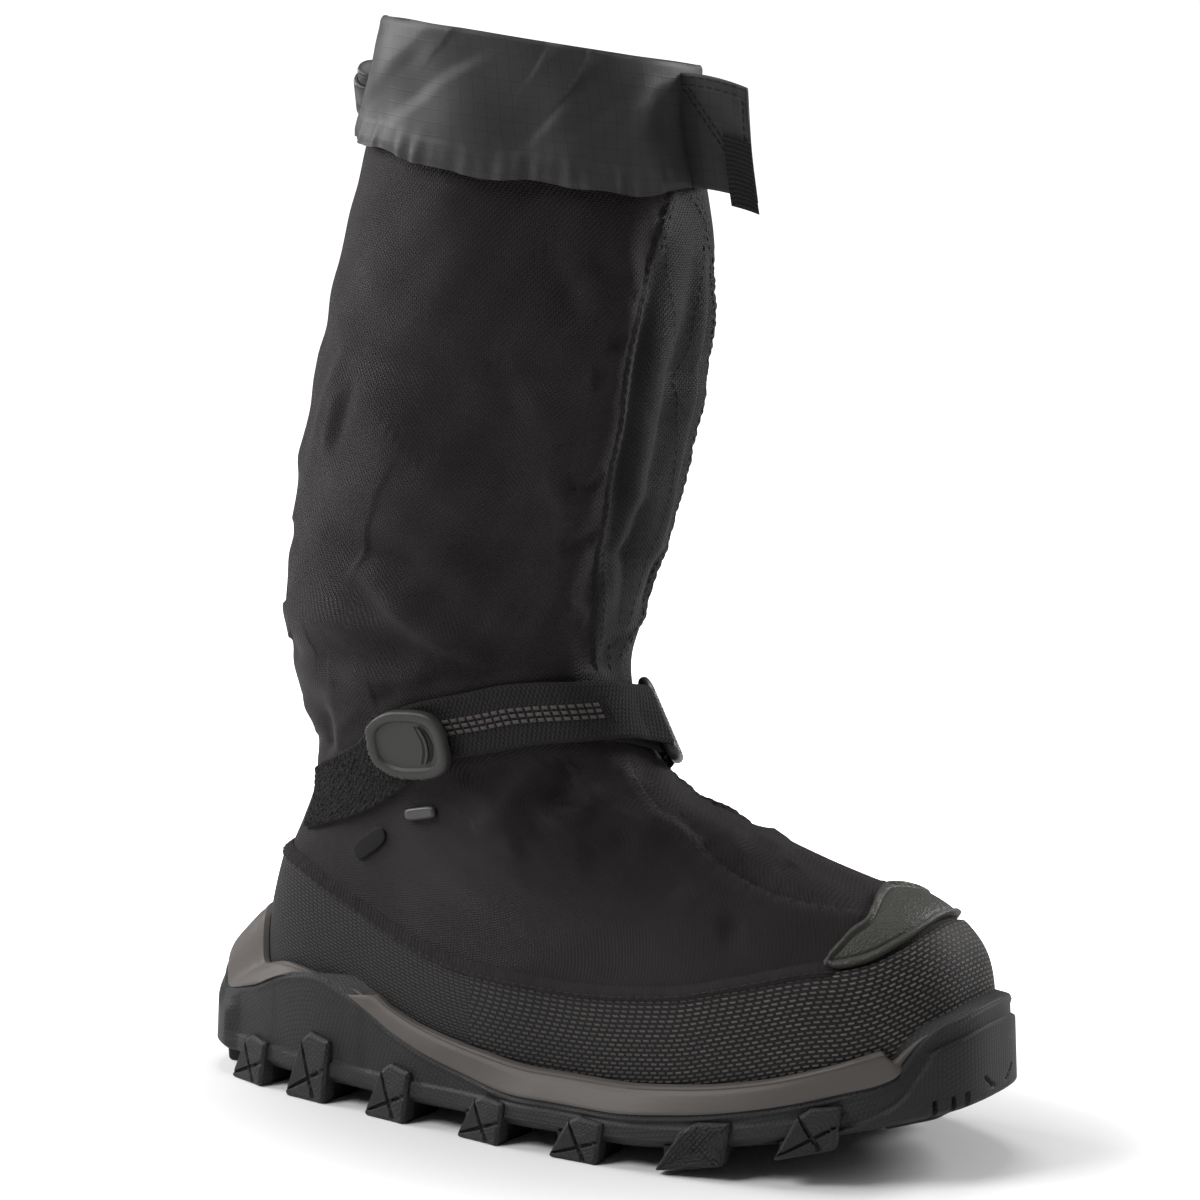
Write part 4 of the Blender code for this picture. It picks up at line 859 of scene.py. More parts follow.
# Half width and depth in millimetres (a trough is negative), then the path
creaseRows = (
    (6, -2.5, (.339, .793), (.369, .744), (.392, .722)),
    (5, -2.5, (.383, .786), (.411, .766), (.439, .751)), (5, 1.5, (.375, .759), (.400, .730)),
    (3, -2.0, (.411, .708), (.425, .701)), (4, -2.0, (.397, .672), (.419, .672)),
    (7, 2.0, (.311, .707), (.336, .656), (.372, .606)),
    (8, -2.5, (.303, .685), (.328, .642), (.353, .606)),
    (5, 2.0, (.156, .696), (.136, .623), (.119, .572)), (4, 1.5, (.161, .652), (.147, .580)),
    (4, -1.5, (.181, .660), (.156, .587)), (12, -2.5, (.283, .691), (.258, .647), (.236, .610)),
    (10, 2.5, (.261, .589), (.297, .541), (.375, .515), (.408, .529)),
    (5, 4.0, (.197, .482), (.239, .450), (.300, .413), (.342, .389), (.364, .370)),
    (8, -4.5, (.208, .500), (.264, .471), (.328, .422), (.372, .384)),
    (14, -3.0, (.225, .553), (.303, .501), (.369, .461)),
    (6, 2.5, (.167, .371), (.250, .370), (.311, .386)),
    (6, -3.5, (.219, .348), (.275, .356), (.311, .367)),
    (8, -2.0, (.150, .395), (.242, .396), (.292, .404)),
    (2.5, -2.5, (.386, .578), (.403, .564), (.425, .579)), (4, 2.0, (.364, .578), (.394, .542)),
    (3, -2.5, (.394, .508), (.436, .522)), (3, 2.0, (.403, .455), (.444, .440), (.444, .426)),
    (5, -2.5, (.525, .490), (.525, .430)), (5, 2.5, (.350, .296), (.297, .270), (.225, .233)),
    (6, -4.0, (.369, .299), (.356, .277), (.297, .253)),
    (4, 2.5, (.381, .289), (.367, .268), (.308, .249), (.281, .247)),
    (8, -2.0, (.286, .244), (.244, .218)), (5, 1.5, (.172, .359), (.131, .298), (.072, .246)),
    (4, -2.0, (.156, .334), (.081, .271)), (8, 2.0, (.328, .250), (.342, .239), (.353, .232)),
    (7, -2.0, (.281, .215), (.331, .232)), (6, -2.0, (.333, .167), (.347, .173)),
    (5, 1.0, (.319, .193), (.328, .185)), (4, -2.5, (.456, .252), (.414, .241), (.386, .222)),
    (5, 2.0, (.453, .241), (.394, .222)), (4, 1.0, (.483, .236), (.483, .224)),
    (4, -1.0, (.417, .214), (.453, .217)),
    # Gusset at the front
    (5, -3.0, (.507, .800), (.500, .700), (.497, .600), (.492, .500), (.500, .400)),
    (5, 2.0, (.520, .780), (.517, .680), (.512, .560), (.512, .450)),
    (4, -2.2, (.470, .780), (.458, .700), (.456, .600), (.464, .500)),
    (5, -2.5, (.535, .800), (.532, .700), (.528, .600), (.527, .500)),
    # Heel and back
    (7, -2.5, (.020, .690), (.985, .640), (.960, .600)),
    (6, 2.0, (.045, .620), (.010, .570), (.975, .540)),
    (6, -2.5, (.060, .520), (.015, .490), (.970, .500)),
    (7, 2.5, (.090, .430), (.030, .420), (.980, .430)),
    (6, -2.5, (.080, .400), (.020, .380), (.960, .390)),
    (5, 1.5, (.060, .330), (.000, .320), (.950, .330)),
    (5, -1.8, (.050, .300), (.000, .285), (.960, .290)),
    # Inner side
    (7, -2.5, (.665, .795), (.640, .745), (.600, .715)),
    (6, 1.8, (.700, .760), (.665, .700), (.640, .655)),
    (9, -2.5, (.780, .720), (.745, .660), (.700, .610)),
    (6, 2.0, (.860, .680), (.840, .620), (.850, .560)),
    (9, 2.5, (.745, .590), (.690, .550), (.620, .525), (.585, .530)),
    (6, 3.5, (.810, .490), (.740, .450), (.670, .410), (.625, .380)),
    (8, -4.0, (.800, .510), (.735, .475), (.665, .430), (.620, .400)),
    (12, -2.5, (.770, .560), (.700, .510), (.640, .470)),
    (6, 2.5, (.840, .375), (.755, .365), (.680, .372)),
    (6, -3.0, (.800, .350), (.730, .345), (.680, .352)),
    (5, 2.5, (.640, .262), (.700, .245), (.770, .228)),
    (6, -3.5, (.625, .268), (.690, .232), (.760, .215)), (6, 1.8, (.660, .215), (.640, .205)),
    (6, -1.6, (.690, .190), (.650, .180)), (4, -2.0, (.560, .245), (.600, .232), (.620, .215)),
    (5, 1.8, (.550, .236), (.605, .220)), (4, 2.0, (.860, .300), (.920, .275)),
    (4, -2.0, (.850, .275), (.910, .252)),
)
shaftSeam = (
    (.489, .840), (.472, .815), (.453, .759), (.439, .723), (.433, .672), (.436, .629), (.436, .593),
    (.439, .550), (.447, .490), (.481, .377),
)
gussetSeam = (
    (.540, .840), (.522, .804), (.514, .759), (.508, .730), (.504, .687), (.500, .658), (.498, .629),
    (.495, .586), (.494, .550), (.497, .461), (.500, .375),
)
vampSeam = (
    (.462, .290), (.433, .259), (.403, .243), (.375, .218), (.375, .200), (.392, .192), (.425, .186),
)
seamLook = {"lap": 0.9, "lapWidth": 5.5, "pucker": 0.35, "puckerLength": 6.5}


def mirrored(path):
    return tuple((1.0 - share, up) for share, up in path)


seams = {"shaftNear": shaftSeam, "shaftFar": mirrored(shaftSeam), "vampNear": vampSeam,
         "vampFar": mirrored(vampSeam)}


def laidPath(path, steps=10):
    # Places (share, v) and points of a soft path on the smooth face
    dense = densify([(share % 1.0 if share < 0 else share, up) for share, up in unwrapped(path)], steps)
    v = vAtUp(dense[:, 0], dense[:, 1])
    return dense[:, 0], v, surface(dense[:, 0], v)


def unwrapped(path):
    # Keeps a path that crosses the heel from jumping a whole turn
    made = [path[0]]
    for share, up in path[1:]:
        last = made[-1][0]
        made.append((share + round(last - share), up))
    return made


def pathField(points, path, reach, steps=8):
    # Nearest distance to a path, positive to its left, and how far along it, both in millimetres
    share, v, line = laidPath(path, steps)
    outs = normalAt(share, v)
    flat = points.reshape(-1, 3)
    distance, place = np.full(len(flat), 1e6), np.zeros(len(flat))
    near = np.all((flat > line.min(0) - reach) & (flat < line.max(0) + reach), axis=1).nonzero()[0]
    some = flat[near]
    best, bestPlace, bestSign = np.full(len(some), 1e6), np.zeros(len(some)), np.ones(len(some))
    walked = 0.0
    for k in range(len(line) - 1):
        run = line[k + 1] - line[k]
        size = np.linalg.norm(run)
        t = np.clip((some - line[k]) @ run / (size * size), 0, 1)
        off = some - line[k] - t[:, None] * run
        gap = np.linalg.norm(off, axis=1)
        closer = gap < best
        left = np.cross(outs[k], run / size)
        best = np.where(closer, gap, best)
        bestPlace = np.where(closer, walked + t * size, bestPlace)
        bestSign = np.where(closer, np.sign(off @ left + 1e-9), bestSign)
        walked += size
    distance[near], place[near] = best * bestSign, bestPlace
    return distance.reshape(points.shape[:-1]), place.reshape(points.shape[:-1]), walked


def foldHeight(share, points):
    # The main folds; the strap and the cuff hold the cloth flat
    up = (points[..., 2] - shoe["footbed"]) / rise
    above = (points[..., 2] - strapHeight(share)) / shoe["strapWidth"]
    loose = smooth(above - 0.6) * smooth((0.84 - up) / 0.08)
    pushed = 0.0
    for around, height, leanDegrees, long, wide, depth in foldRows:
        run = ((share - around + 0.5) % 1.0 - 0.5) * np.pi * shoe["ballWidth"]
        climb = (up - height) * rise
        lean = math.radians(leanDegrees)
        along = (run * math.cos(lean) + climb * math.sin(lean)) / (long * shoe["ballWidth"])
        across = (climb * math.cos(lean) - run * math.sin(lean)) / (wide * shoe["ballWidth"])
        pushed = pushed + depth * np.exp(-along * along - across * across)
    return pushed * loose * shoe["wall"]


def clothHeight(share, points):
    # Folds, creases, seams and small waves of the cloth, and a mark for its rubbed ridges
    above = (points[..., 2] - strapHeight(share)) / shoe["strapWidth"]
    up = (points[..., 2] - shoe["footbed"]) / rise
    free = smooth((np.abs(above) - 0.5) / 0.22) * smooth((0.875 - up) / 0.05)
    free = free * smooth((points[..., 2] - heightOf(randLine, share)) / 9.0)
    height = np.zeros(points.shape[:-1])
    for width, depth, *path in creaseRows:
        distance, place, length = pathField(points, path, width * 3.0)
        t = place / length
        taper = smooth(t / 0.30) * smooth((1 - t) / 0.30)
        height += depth * np.exp(-(np.abs(distance) / width) ** 1.7) * (0.25 + 0.75 * taper) * (taper > 0)
    angle = 2 * np.pi * share
    waves = (np.sin(9 * angle + points[..., 2] * 0.11 + 1.7 * np.sin(points[..., 2] * 0.045)) * 0.28
             + np.sin(17 * angle - points[..., 2] * 0.16 + 2.1 * np.sin(3 * angle)) * 0.18
             + np.sin(5 * angle + points[..., 2] * 0.23) * 0.20)
    height = (height + waves) * free
    edge = np.clip(height, 0, 3) / 9.0
    for name, path in seams.items():
        distance, place, length = pathField(points, path, 14.0)
        side = -distance if name.startswith("shaftFar") or name.startswith("vampNear") else distance
        lap = (0.5 + 0.5 * np.tanh(side / 0.35)) * np.exp(-(side / seamLook["lapWidth"]) ** 4)
        groove = -0.5 * np.exp(-(side / 0.9) ** 2)
        beat = place * 2 * np.pi / seamLook["puckerLength"] + np.sin(place * 0.21) * 2
        pucker = seamLook["pucker"] * np.sin(beat)
        pucker = pucker * np.exp(-(side / 5.5) ** 2)
        height += (seamLook["lap"] * lap + groove + pucker) * free
        edge = edge + 0.30 * lap * free
    return height + foldHeight(share, points), edge


def skin(share, v, out=0.0, creased=False):
    # Point that stands out from the folded face, or from the creased one
    bare = surface(share, v)
    height = clothHeight(share, bare)[0] if creased else foldHeight(share, bare)
    return bare + normalAt(share, v) * (height + out)[..., None]


# Upper
upperLook = {"columns": 400, "outerRows": 176, "hiddenRows": 6, "innerRows": 46}
columnShare = np.arange(upperLook["columns"]) / upperLook["columns"]
clothStart = vAtHeight(columnShare, heightOf(randLine, columnShare) - 7.0)
clothEnd = vAtHeight(columnShare, cuffFoot(columnShare) + 9.0)


def spread(start, end, count, ends=True):
    return start + (end - start) * np.linspace(0, 1, count, endpoint=ends)[:, None]


outerV = np.concatenate([spread(0 * clothStart, clothStart, upperLook["hiddenRows"], False),
                         spread(clothStart, clothEnd, upperLook["outerRows"], False),
                         spread(clothEnd, 0 * clothEnd + shoe["rimV"], upperLook["hiddenRows"])])
shareGrid = np.broadcast_to(columnShare, outerV.shape)
bare = surface(shareGrid, outerV)
clothOut, clothEdge = clothHeight(shareGrid, bare)
outerCloth = bare + normalAt(shareGrid, outerV) * clothOut[..., None]
innerV = spread(0 * clothStart, 0 * clothStart + shoe["rimV"], upperLook["innerRows"])
innerShare = np.broadcast_to(columnShare, innerV.shape)
innerBare = surface(innerShare, innerV)
innerOut = clothHeight(innerShare, innerBare)[0]
innerCloth = innerBare + normalAt(innerShare, innerV) * (innerOut - shoe["wall"])[..., None]
for grid in (outerCloth, innerCloth):
    grid[0, :, 2] = footbedAt(grid[0, :, 0])
    rimZ = surface(columnShare, shoe["rimV"])[..., 2]
    climb = (grid[..., 2] - rimZ + shoe["cuffHeight"]) / shoe["cuffHeight"]
    grid[..., 2] += (rimShift(columnShare) - 2.5) * np.clip(climb, 0, 1) ** 1.5
up = (bare[..., 2] - shoe["footbed"]) / rise
frontEdge = np.interp(up, [p[1] for p in shaftSeam[::-1]], [p[0] for p in shaftSeam[::-1]])
gusset = smooth((sideShare(shareGrid) - frontEdge) / 0.004) * (up > 0.35)
zeros = np.zeros(innerBare.shape[0] * innerBare.shape[1])
upperMarks = {"gusset": np.concatenate([gusset.ravel(), zeros]),
              "edge": np.concatenate([clothEdge.ravel(), zeros])}
makePiece("upper_cloth", [shellPart(outerCloth, innerCloth, True)], finishes["cloth"],
          ("upper",), marks=upperMarks)


def stitchesAlong(path, offset, long=2.7, gap=0.9, out=0.0, radius=0.25):
    # Thread stitches that follow a path at an offset across it, on the creased cloth
    share, v, line = laidPath(path, 14)
    run = unit(np.gradient(line, axis=0))
    left = np.cross(normalAt(share, v), run)
    eastward = surface(share + 0.002, v) - surface(share - 0.002, v)
    upward = surface(share, v + 0.05) - surface(share, v - 0.05)
    share = share + 0.004 * offset * np.sum(left * eastward, 1) / np.sum(eastward ** 2, 1)
    v = v + 0.1 * offset * np.sum(left * upward, 1) / np.sum(upward ** 2, 1)
    line = surface(share, v)
    walked = walkAlong(line)
    begin = np.arange(0.0, walked[-1] - long, long + gap)
    ends = []
    for place in (begin, begin + long):
        s, w = np.interp(place, walked, share), np.interp(place, walked, v)
        ends.append(skin(s, w, out, True))
    return stitchParts(ends[0], ends[1], normalAt(s, w), radius)


seamStitches = []
for name, path in seams.items():
    sign = -1 if name in ("shaftFar", "vampNear") else 1
    seamStitches += [stitchesAlong(path, sign * 1.3), stitchesAlong(path, sign * 4.0)]
for path in (gussetSeam, mirrored(gussetSeam)[1:]):
    seamStitches.append(stitchesAlong(path, 0.0, out=-0.05, radius=0.22))
makePiece("seam_stitches", seamStitches, finishes["thread"])
print("upper ready")


# Rand: mesh over the forefoot, twill round the heel
randLook = {"meshColumns": 400, "heelColumns": 260, "rows": 44, "heelSeam": 0.214}


def randShell(first, last, columns):
    share = np.linspace(first, last, columns)
    top = vAtHeight(share, heightOf(randLine, share))
    v = spread(0 * top, top, randLook["rows"])
    grid = np.broadcast_to(share, v.shape)
    outer = surface(grid, v)
    inner = outer + normalAt(grid, v) * shoe["clothGap"]
    outs = normalAt(grid, v)
    topRound = smooth((v[-1:] - v) / 0.10)
    out = shoe["clothGap"] + (shoe["randOut"] - shoe["clothGap"]) * (0.35 + 0.65 * topRound)
    outer = outer + outs * out[..., None]
    for each in (outer, inner):
        each[0, :, 2] = footbedAt(each[0, :, 0])
    return shellPart(outer, inner, False)


heelSeam = randLook["heelSeam"]
makePiece("rand_mesh", [randShell(heelSeam, 1 - heelSeam, randLook["meshColumns"])], finishes["mesh"],
          ("rand",))
makePiece("rand_heel", [randShell(-heelSeam, heelSeam, randLook["heelColumns"])], finishes["twill"],
          ("rand",))


# The cloth's folded edge lies over the top of the rand, with a row of stitches
edgeLook = {"low": -1.9, "high": 3.2, "columns": 620}


def foldedEdge():
    share = np.arange(edgeLook["columns"]) / edgeLook["columns"]
    middle = heightOf(randLine, share)
    rows, backs = [], []
    low, high = edgeLook["low"], edgeLook["high"]
    profile = ((low, 1.9), (low + 0.05, 2.35), (low + 0.5, 2.65), (-0.8, 2.75), (0.4, 2.5), (1.6, 1.6),
               (high, 0.4))
    for climb, out in profile:
        v = vAtHeight(share, middle + climb)
        wave = 0.06 * np.sin(share * 2 * np.pi * 97) + 0.05 * np.sin(share * 2 * np.pi * 61)
        base, outs = surface(share, v), normalAt(share, v)
        under = smooth((sideShare(share) - 0.388) / 0.010)
        rows.append(base + outs * ((out + wave) * (1 - under) + 0.40 * under)[..., None])
        backs.append(base + outs * (max(0.25, out - 1.2) * (1 - under) + 0.20 * under)[..., None])
    return shellPart(np.array(rows), np.array(backs), True)


makePiece("folded_edge", [foldedEdge()], finishes["cloth"])


def edgeStitches(climb, out, long=2.8, gap=0.9):
    share = np.linspace(0, 1, 3000)
    v = vAtHeight(share, heightOf(randLine, share) + climb)
    line = surface(share, v) + normalAt(share, v) * out
    walked = walkAlong(line)
    begin = np.arange(0, walked[-1] - long, long + gap)
    begin = begin[sideShare(np.interp(begin, walked, share)) < 0.388]
    at = [pointsAt(place, walked, line) for place in (begin, begin + long)]
    s, w = np.interp(begin, walked, share), np.interp(begin, walked, v)
    return stitchParts(at[0], at[1], normalAt(s, w), 0.26)


makePiece("edge_stitches", [edgeStitches(-0.5, 2.85)], finishes["thread"])
print("rand ready")


# Cuff
cuffLook = {"columns": 420, "rows": 64, "out": 3.0, "overhang": 3.2, "pucker": 0.40, "wall": 1.6}
cuffDents = (
    (13, -3.0, (.380, .965), (.405, .935), (.430, .905)), (11, -1.8, (.320, .930), (.352, .900)),
    (11, 1.3, (.335, .970), (.365, .930), (.385, .900)), (11, 1.4, (.445, .950), (.462, .900)),
    (10, -1.2, (.240, .985), (.262, .940)), (14, -1.5, (.180, .965), (.215, .915)),
    (12, 1.2, (.110, .975), (.140, .920)), (9, -1.4, (.475, .930), (.480, .880)),
    (9, -3.0, (.620, .940), (.600, .900)), (9, 2.4, (.700, .950), (.680, .905)),
    (9, -2.6, (.800, .960), (.780, .910)), (8, 2.2, (.900, .970), (.880, .915)),
    (8, -2.2, (.985, .960), (.965, .905)),
)


def cuffHeight(share, points, foot):
    height = np.zeros(points.shape[:-1])
    for width, depth, *path in cuffDents:
        distance, place, length = pathField(points, path, width * 3.0)
        t = place / length
        taper = 0.3 + 0.7 * smooth(t / .3) * smooth((1 - t) / .3)
        height += depth * np.exp(-(np.abs(distance) / width) ** 1.8) * taper
    angle = 2 * np.pi * share
    climb = points[..., 2] - foot
    hem = np.exp(-(climb / 7.0) ** 2)
    ripple = np.sin(37 * angle + 2 * np.sin(5 * angle)) + 0.6 * np.sin(61 * angle)
    height += cuffLook["pucker"] * hem * ripple
    height += 0.5 * np.sin(11 * angle + climb * 0.13) + 0.35 * np.sin(7 * angle - climb * 0.21)
    height += 0.22 * smooth((climb - 1.0) / 1.5) * smooth((9.0 - climb) / 1.5)
    return height


def cuffPart():
    share = np.arange(cuffLook["columns"]) / cuffLook["columns"]
    foot, rim = cuffFoot(share), surface(share, shoe["rimV"])[..., 2]
    foot = foot + 0.8 * np.sin(2 * np.pi * share * 6 + 1.0) + 0.5 * np.sin(2 * np.pi * share * 13)
    t = np.linspace(0, 1, cuffLook["rows"])[:, None]
    z = foot + (rim - foot) * t
    v = vAtHeight(np.broadcast_to(share, z.shape), z)
    grid = np.broadcast_to(share, z.shape)
    base = surface(grid, v)
    climb = z - foot
    overhang = cuffLook["overhang"] * np.exp(-(climb / 9.0) ** 2) * 0.55
    puff = cuffLook["out"] + 1.1 * np.sin(np.pi * np.clip(t, 0, 1)) + overhang
    height = cuffHeight(grid, base, foot)
    outs = normalAt(grid, v)
    flat = unit(outs * np.array([1.0, 1.0, 0.15]))
    outer = base + flat * (puff + np.maximum(height, 0.6 - puff))[..., None]
    roll = 1 - np.clip((1 - t) / 0.045, 0, 1)
    outer = outer - flat * (cuffLook["wall"] * 0.55 * roll ** 2)[..., None]
    outer[..., 2] += rimShift(share) * t ** 1.5
    wall = cuffLook["wall"]
    down = np.linspace(0, 1, 24)[:, None]
    innerZ = rim - (rim - foot) * down
    innerV = vAtHeight(np.broadcast_to(share, innerZ.shape), innerZ)
    innerGrid = np.broadcast_to(share, innerZ.shape)
    innerBase = surface(innerGrid, innerV)
    innerFlat = unit(normalAt(innerGrid, innerV) * np.array([1.0, 1.0, 0.15]))
    pushed = puff + height
    follow = np.stack([np.interp(innerZ[::-1, k], z[:, k], pushed[:, k])[::-1] for k in range(len(share))], 1)
    innerOut = np.maximum(follow - wall, 0.45)
    inner = innerBase + innerFlat * innerOut[..., None]
    inner[..., 2] += rimShift(share) * (1 - down) ** 1.5
    inner = inner[::-1]
    return shellPart(outer, inner, True)


makePiece("cuff_band", [cuffPart()], finishes["ripstop"], ("cuff",))
print("cuff ready")


# What is sewn to the cuff stands this far out of the upper
cuffOut = shoe["clothGap"] + cuffLook["wall"] + 0.9 + 0.3

# Closing flap and its ribbed tape
flapLook = {"reach": 24.0, "droop": 5.0, "thickness": 2.6, "swing": 18.0}


def flapPoint(across, up):
    across, up = np.broadcast_arrays(np.asarray(across, float), np.asarray(up, float))
    foot, rim = cuffFoot(0.5), surface(0.5, shoe["rimV"])[..., 2]
    v = vAtHeight(0.5, foot + (rim - foot) * up)
    rootPoint = skin(np.full(v.shape, 0.5), v, cuffOut + flapLook["thickness"] * 0.25)
    swing = np.radians(flapLook["swing"]) * (0.4 + 0.6 * across)
    away = np.stack([np.cos(swing), np.sin(swing), 0 * swing], -1) * (flapLook["reach"] * across)[..., None]
    drop = np.stack([0 * across, 0 * across, flapLook["droop"] * across * np.abs(across)], -1)
    return rootPoint + away - drop


def flapSheet(across, up, thickness, lift=0.0):
    middle = flapPoint(across, up)
    ahead = flapPoint(across + 0.01, up) - flapPoint(across - 0.01, up)
    side = unit(np.stack([ahead[..., 1], -ahead[..., 0], 0 * ahead[..., 0]], -1))
    wave = 0.7 * np.sin(across * 5.0 + up * 3.5) + 0.3 * np.sin(up * 17.0 + across * 9.0) * across
    middle = middle + side * (wave * across)[..., None]
    return middle + side * (thickness / 2 + lift), middle + side * (lift - thickness / 2)


across, up = np.meshgrid(np.linspace(-0.04, 1.0, 60), np.linspace(0, 1, 90))
edgeRound = 1.0
for inward in ((1 - across) / 0.05, (1 - up) / 0.03, up / 0.03):
    edgeRound = edgeRound * np.minimum(1, np.sqrt(np.clip(inward, 0, 1)) + 0.15)
hem = 0.35 * smooth((up - 0.86) / 0.02) + 0.25 * smooth((across - 0.86) / 0.03)
nearSide, farSide = flapSheet(across, up, 1.6)
sideways = unit(nearSide - farSide)
middle = (nearSide + farSide) / 2
half = sideways * ((0.8 + hem) * edgeRound)[..., None]
makePiece("closing_flap", [shellPart(middle + half, middle - half, False)], finishes["ripstop"],
          ("cuff_flap",))
tapeAcross, tapeUp = np.meshgrid(np.linspace(0.60, 0.99, 26), np.linspace(-0.10, 0.52, 90))
tapeNear, tapeFar = flapSheet(tapeAcross, tapeUp, 1.5, 1.55)
tapeEdge = np.minimum(1, 8 * np.minimum(tapeAcross - 0.60, 0.99 - tapeAcross) + 0.3)
ribs = 0.32 * np.abs(np.sin(tapeUp * 62.0)) * tapeEdge
tapeOuter = tapeNear + unit(tapeNear - tapeFar) * ribs[..., None]
makePiece("ribbed_tape", [shellPart(tapeOuter, tapeFar, False)], finishes["webbing"],
          ("flap_tape",))


def lineOnFlap(points, lift, long=2.2, gap=0.8):
    # Row of stitches on the flap's near face along a few (across, up) points
    dense = densify(points, 24)
    near, far = flapSheet(dense[:, 0], dense[:, 1], 1.6)
    outs = unit(near - far)
    line = near + outs * lift
    walked = walkAlong(line)
    begin = np.arange(0, walked[-1] - long, long + gap)
    at = [pointsAt(p, walked, line) for p in (begin, begin + long)]
    out = pointsAt(begin, walked, outs)
    return stitchParts(at[0], at[1], out, 0.24)


flapRows = ([(0.02, .90), (.97, .90)], [(0.02, .97), (.97, .97)], [(.90, .88), (.90, .04)],
            [(.05, .86), (.45, .50), (.85, .14)], [(.12, .88), (.52, .52), (.90, .18)])
makePiece("flap_stitches", [lineOnFlap(row, 0.38) for row in flapRows], finishes["thread"])
print("flap ready")


# Ankle strap, its loop and the webbing that holds the loop
strapLook = {"thickness": 1.7, "across": 49, "cords": 13, "relief": 0.22,
             "loopShare": 0.550, "loopBar": 3.0, "loopWide": 15.0, "loopHigh": 32.0, "loopLift": 1.0,
             "loopCorner": 3.4, "clearance": 0.4}


def bandV(share, across):
    # Places v across the strap, from its lower edge (0) to its upper edge (1)
    z = strapHeight(share)
    middle = vAtHeight(share, z)
    climb = surface(share, middle + 0.2) - surface(share, middle - 0.2)
    half = shoe["strapWidth"] / 2 * climb[..., 2] / np.linalg.norm(climb, axis=-1)
    low, high = vAtHeight(share, z - half), vAtHeight(share, z + half)
    return low[:, None] + (high - low)[:, None] * across


def bandRun(shares, outs, across):
    grid = np.broadcast_to(np.asarray(shares)[:, None], (len(shares), len(across)))
    v = bandV(np.asarray(shares), across)
    out = shoe["strapOut"] + blend(outs, shares)[:, None] + 0 * v
    return skin(grid, v, out)


def loopFrame():
    share = np.array([strapLook["loopShare"]])
    v = bandV(share, np.array([0.5]))[:, 0]
    out = normalAt(share, v)[0]
    upward = unit(skin(share, v + 0.3) - skin(share, v - 0.3))[0]
    along = unit(np.cross(upward, out))
    if along @ (skin(share + 0.016, v) - skin(share - 0.016, v))[0] < 0:
        along = -along
    lift = (shoe["strapOut"] + strapLook["loopBar"] / 2 + strapLook["clearance"] + strapLook["thickness"] / 2
            + strapLook["loopLift"])
    return skin(share, v, np.array([lift]))[0], along, upward, out


loopMiddle, loopAlong, loopUp, loopOut = loopFrame()


def foldRound(direction, across, steps=22):
    bar = loopMiddle + loopAlong * direction * (strapLook["loopWide"] - strapLook["loopBar"]) / 2
    radius = strapLook["loopBar"] / 2 + strapLook["clearance"] + strapLook["thickness"] / 2
    tail = bar + loopAlong * direction * (strapLook["loopBar"] / 2 + 0.3)
    centres = [tail + loopOut * radius]
    for swing in np.linspace(-math.pi / 2, math.pi / 2, steps):
        ahead = loopAlong * direction * radius * math.cos(swing)
        centres.append(bar - ahead - loopOut * radius * math.sin(swing))
    centres.append(tail - loopOut * radius)
    return np.array([[c + loopUp * shoe["strapWidth"] * (a - 0.5) for a in across] for c in centres])


def joinRuns(first, second, steps):
    # Straight stretch between the last row of one run and the first row of the next
    t = np.linspace(0, 1, steps + 2)[1:-1, None, None]
    return first[-1] + (second[0] - first[-1]) * t


def ribbonPart(rows):
    # Webbing with cords along its outer face, round at its edges
    ahead = np.gradient(rows, axis=0)
    across = unit(rows[:, -1:] - rows[:, :1])
    out = unit(np.cross(ahead, np.broadcast_to(across, ahead.shape)))
    place = np.linspace(0, 1, rows.shape[1])
    edge = np.sqrt(np.clip(1 - np.abs(place * 2 - 1) ** 14, 0.05, 1))
    inward = np.minimum(np.arange(len(rows)), np.arange(len(rows))[::-1])
    ends = np.minimum(1, np.sqrt(inward / 3.0 + 0.1))[:, None]
    half = strapLook["thickness"] / 2 * edge * ends
    cord = strapLook["relief"] * (np.abs(np.cos(place * math.pi * strapLook["cords"])) - 0.5)
    outer = rows + out * (half + cord * edge)[..., None]
    inner = rows - out * (half + cord * edge * 0.5)[..., None]
    return shellPart(outer, inner, False)


acrossBand = np.linspace(0, 1, strapLook["across"])
layer = strapLook["thickness"] + shoe["clothGap"]
overLoop, underLoop = layer + strapLook["loopLift"] + 1.2, strapLook["loopLift"] * 0.45
topShares = np.linspace(0.23, 0.500, 190)
strapTop = bandRun(topShares,
                   ((0.37, 0.0), (0.43, layer), (0.500, overLoop)), acrossBand)
strapFold = foldRound(-1, acrossBand)
strapUnder = bandRun(np.linspace(0.500, 0.445, 40), ((0.45, 0.0), (0.500, underLoop)), acrossBand)
strapRows = np.concatenate([strapTop, joinRuns(strapTop, strapFold, 10), strapFold,
                            joinRuns(strapFold, strapUnder, 10), strapUnder])
makePiece("ankle_strap", [ribbonPart(strapRows)], finishes["webbing"],
          ("strap",))
farTop = bandRun(np.linspace(0.66, 0.592, 50), ((0.592, overLoop), (0.66, layer)), acrossBand)
farFold = foldRound(1, acrossBand)
farUnder = bandRun(np.linspace(0.592, 0.76, 110), ((0.592, underLoop), (0.63, 0.0)), acrossBand)
farRows = np.concatenate([farTop, joinRuns(farTop, farFold, 6), farFold, joinRuns(farFold, farUnder, 6),
                          farUnder])
makePiece("loop_strap", [ribbonPart(farRows)], finishes["webbing"],
          ("loop_webbing",))

# Three rows of raised blocks along the middle of the strap, and a bar of close stitches
blockLook = {"long": 2.3, "gap": 0.75, "tall": 1.35, "rise": 0.55, "rows": (-2.3, 0.0, 2.3),
             "first": 0.262, "last": 0.455}


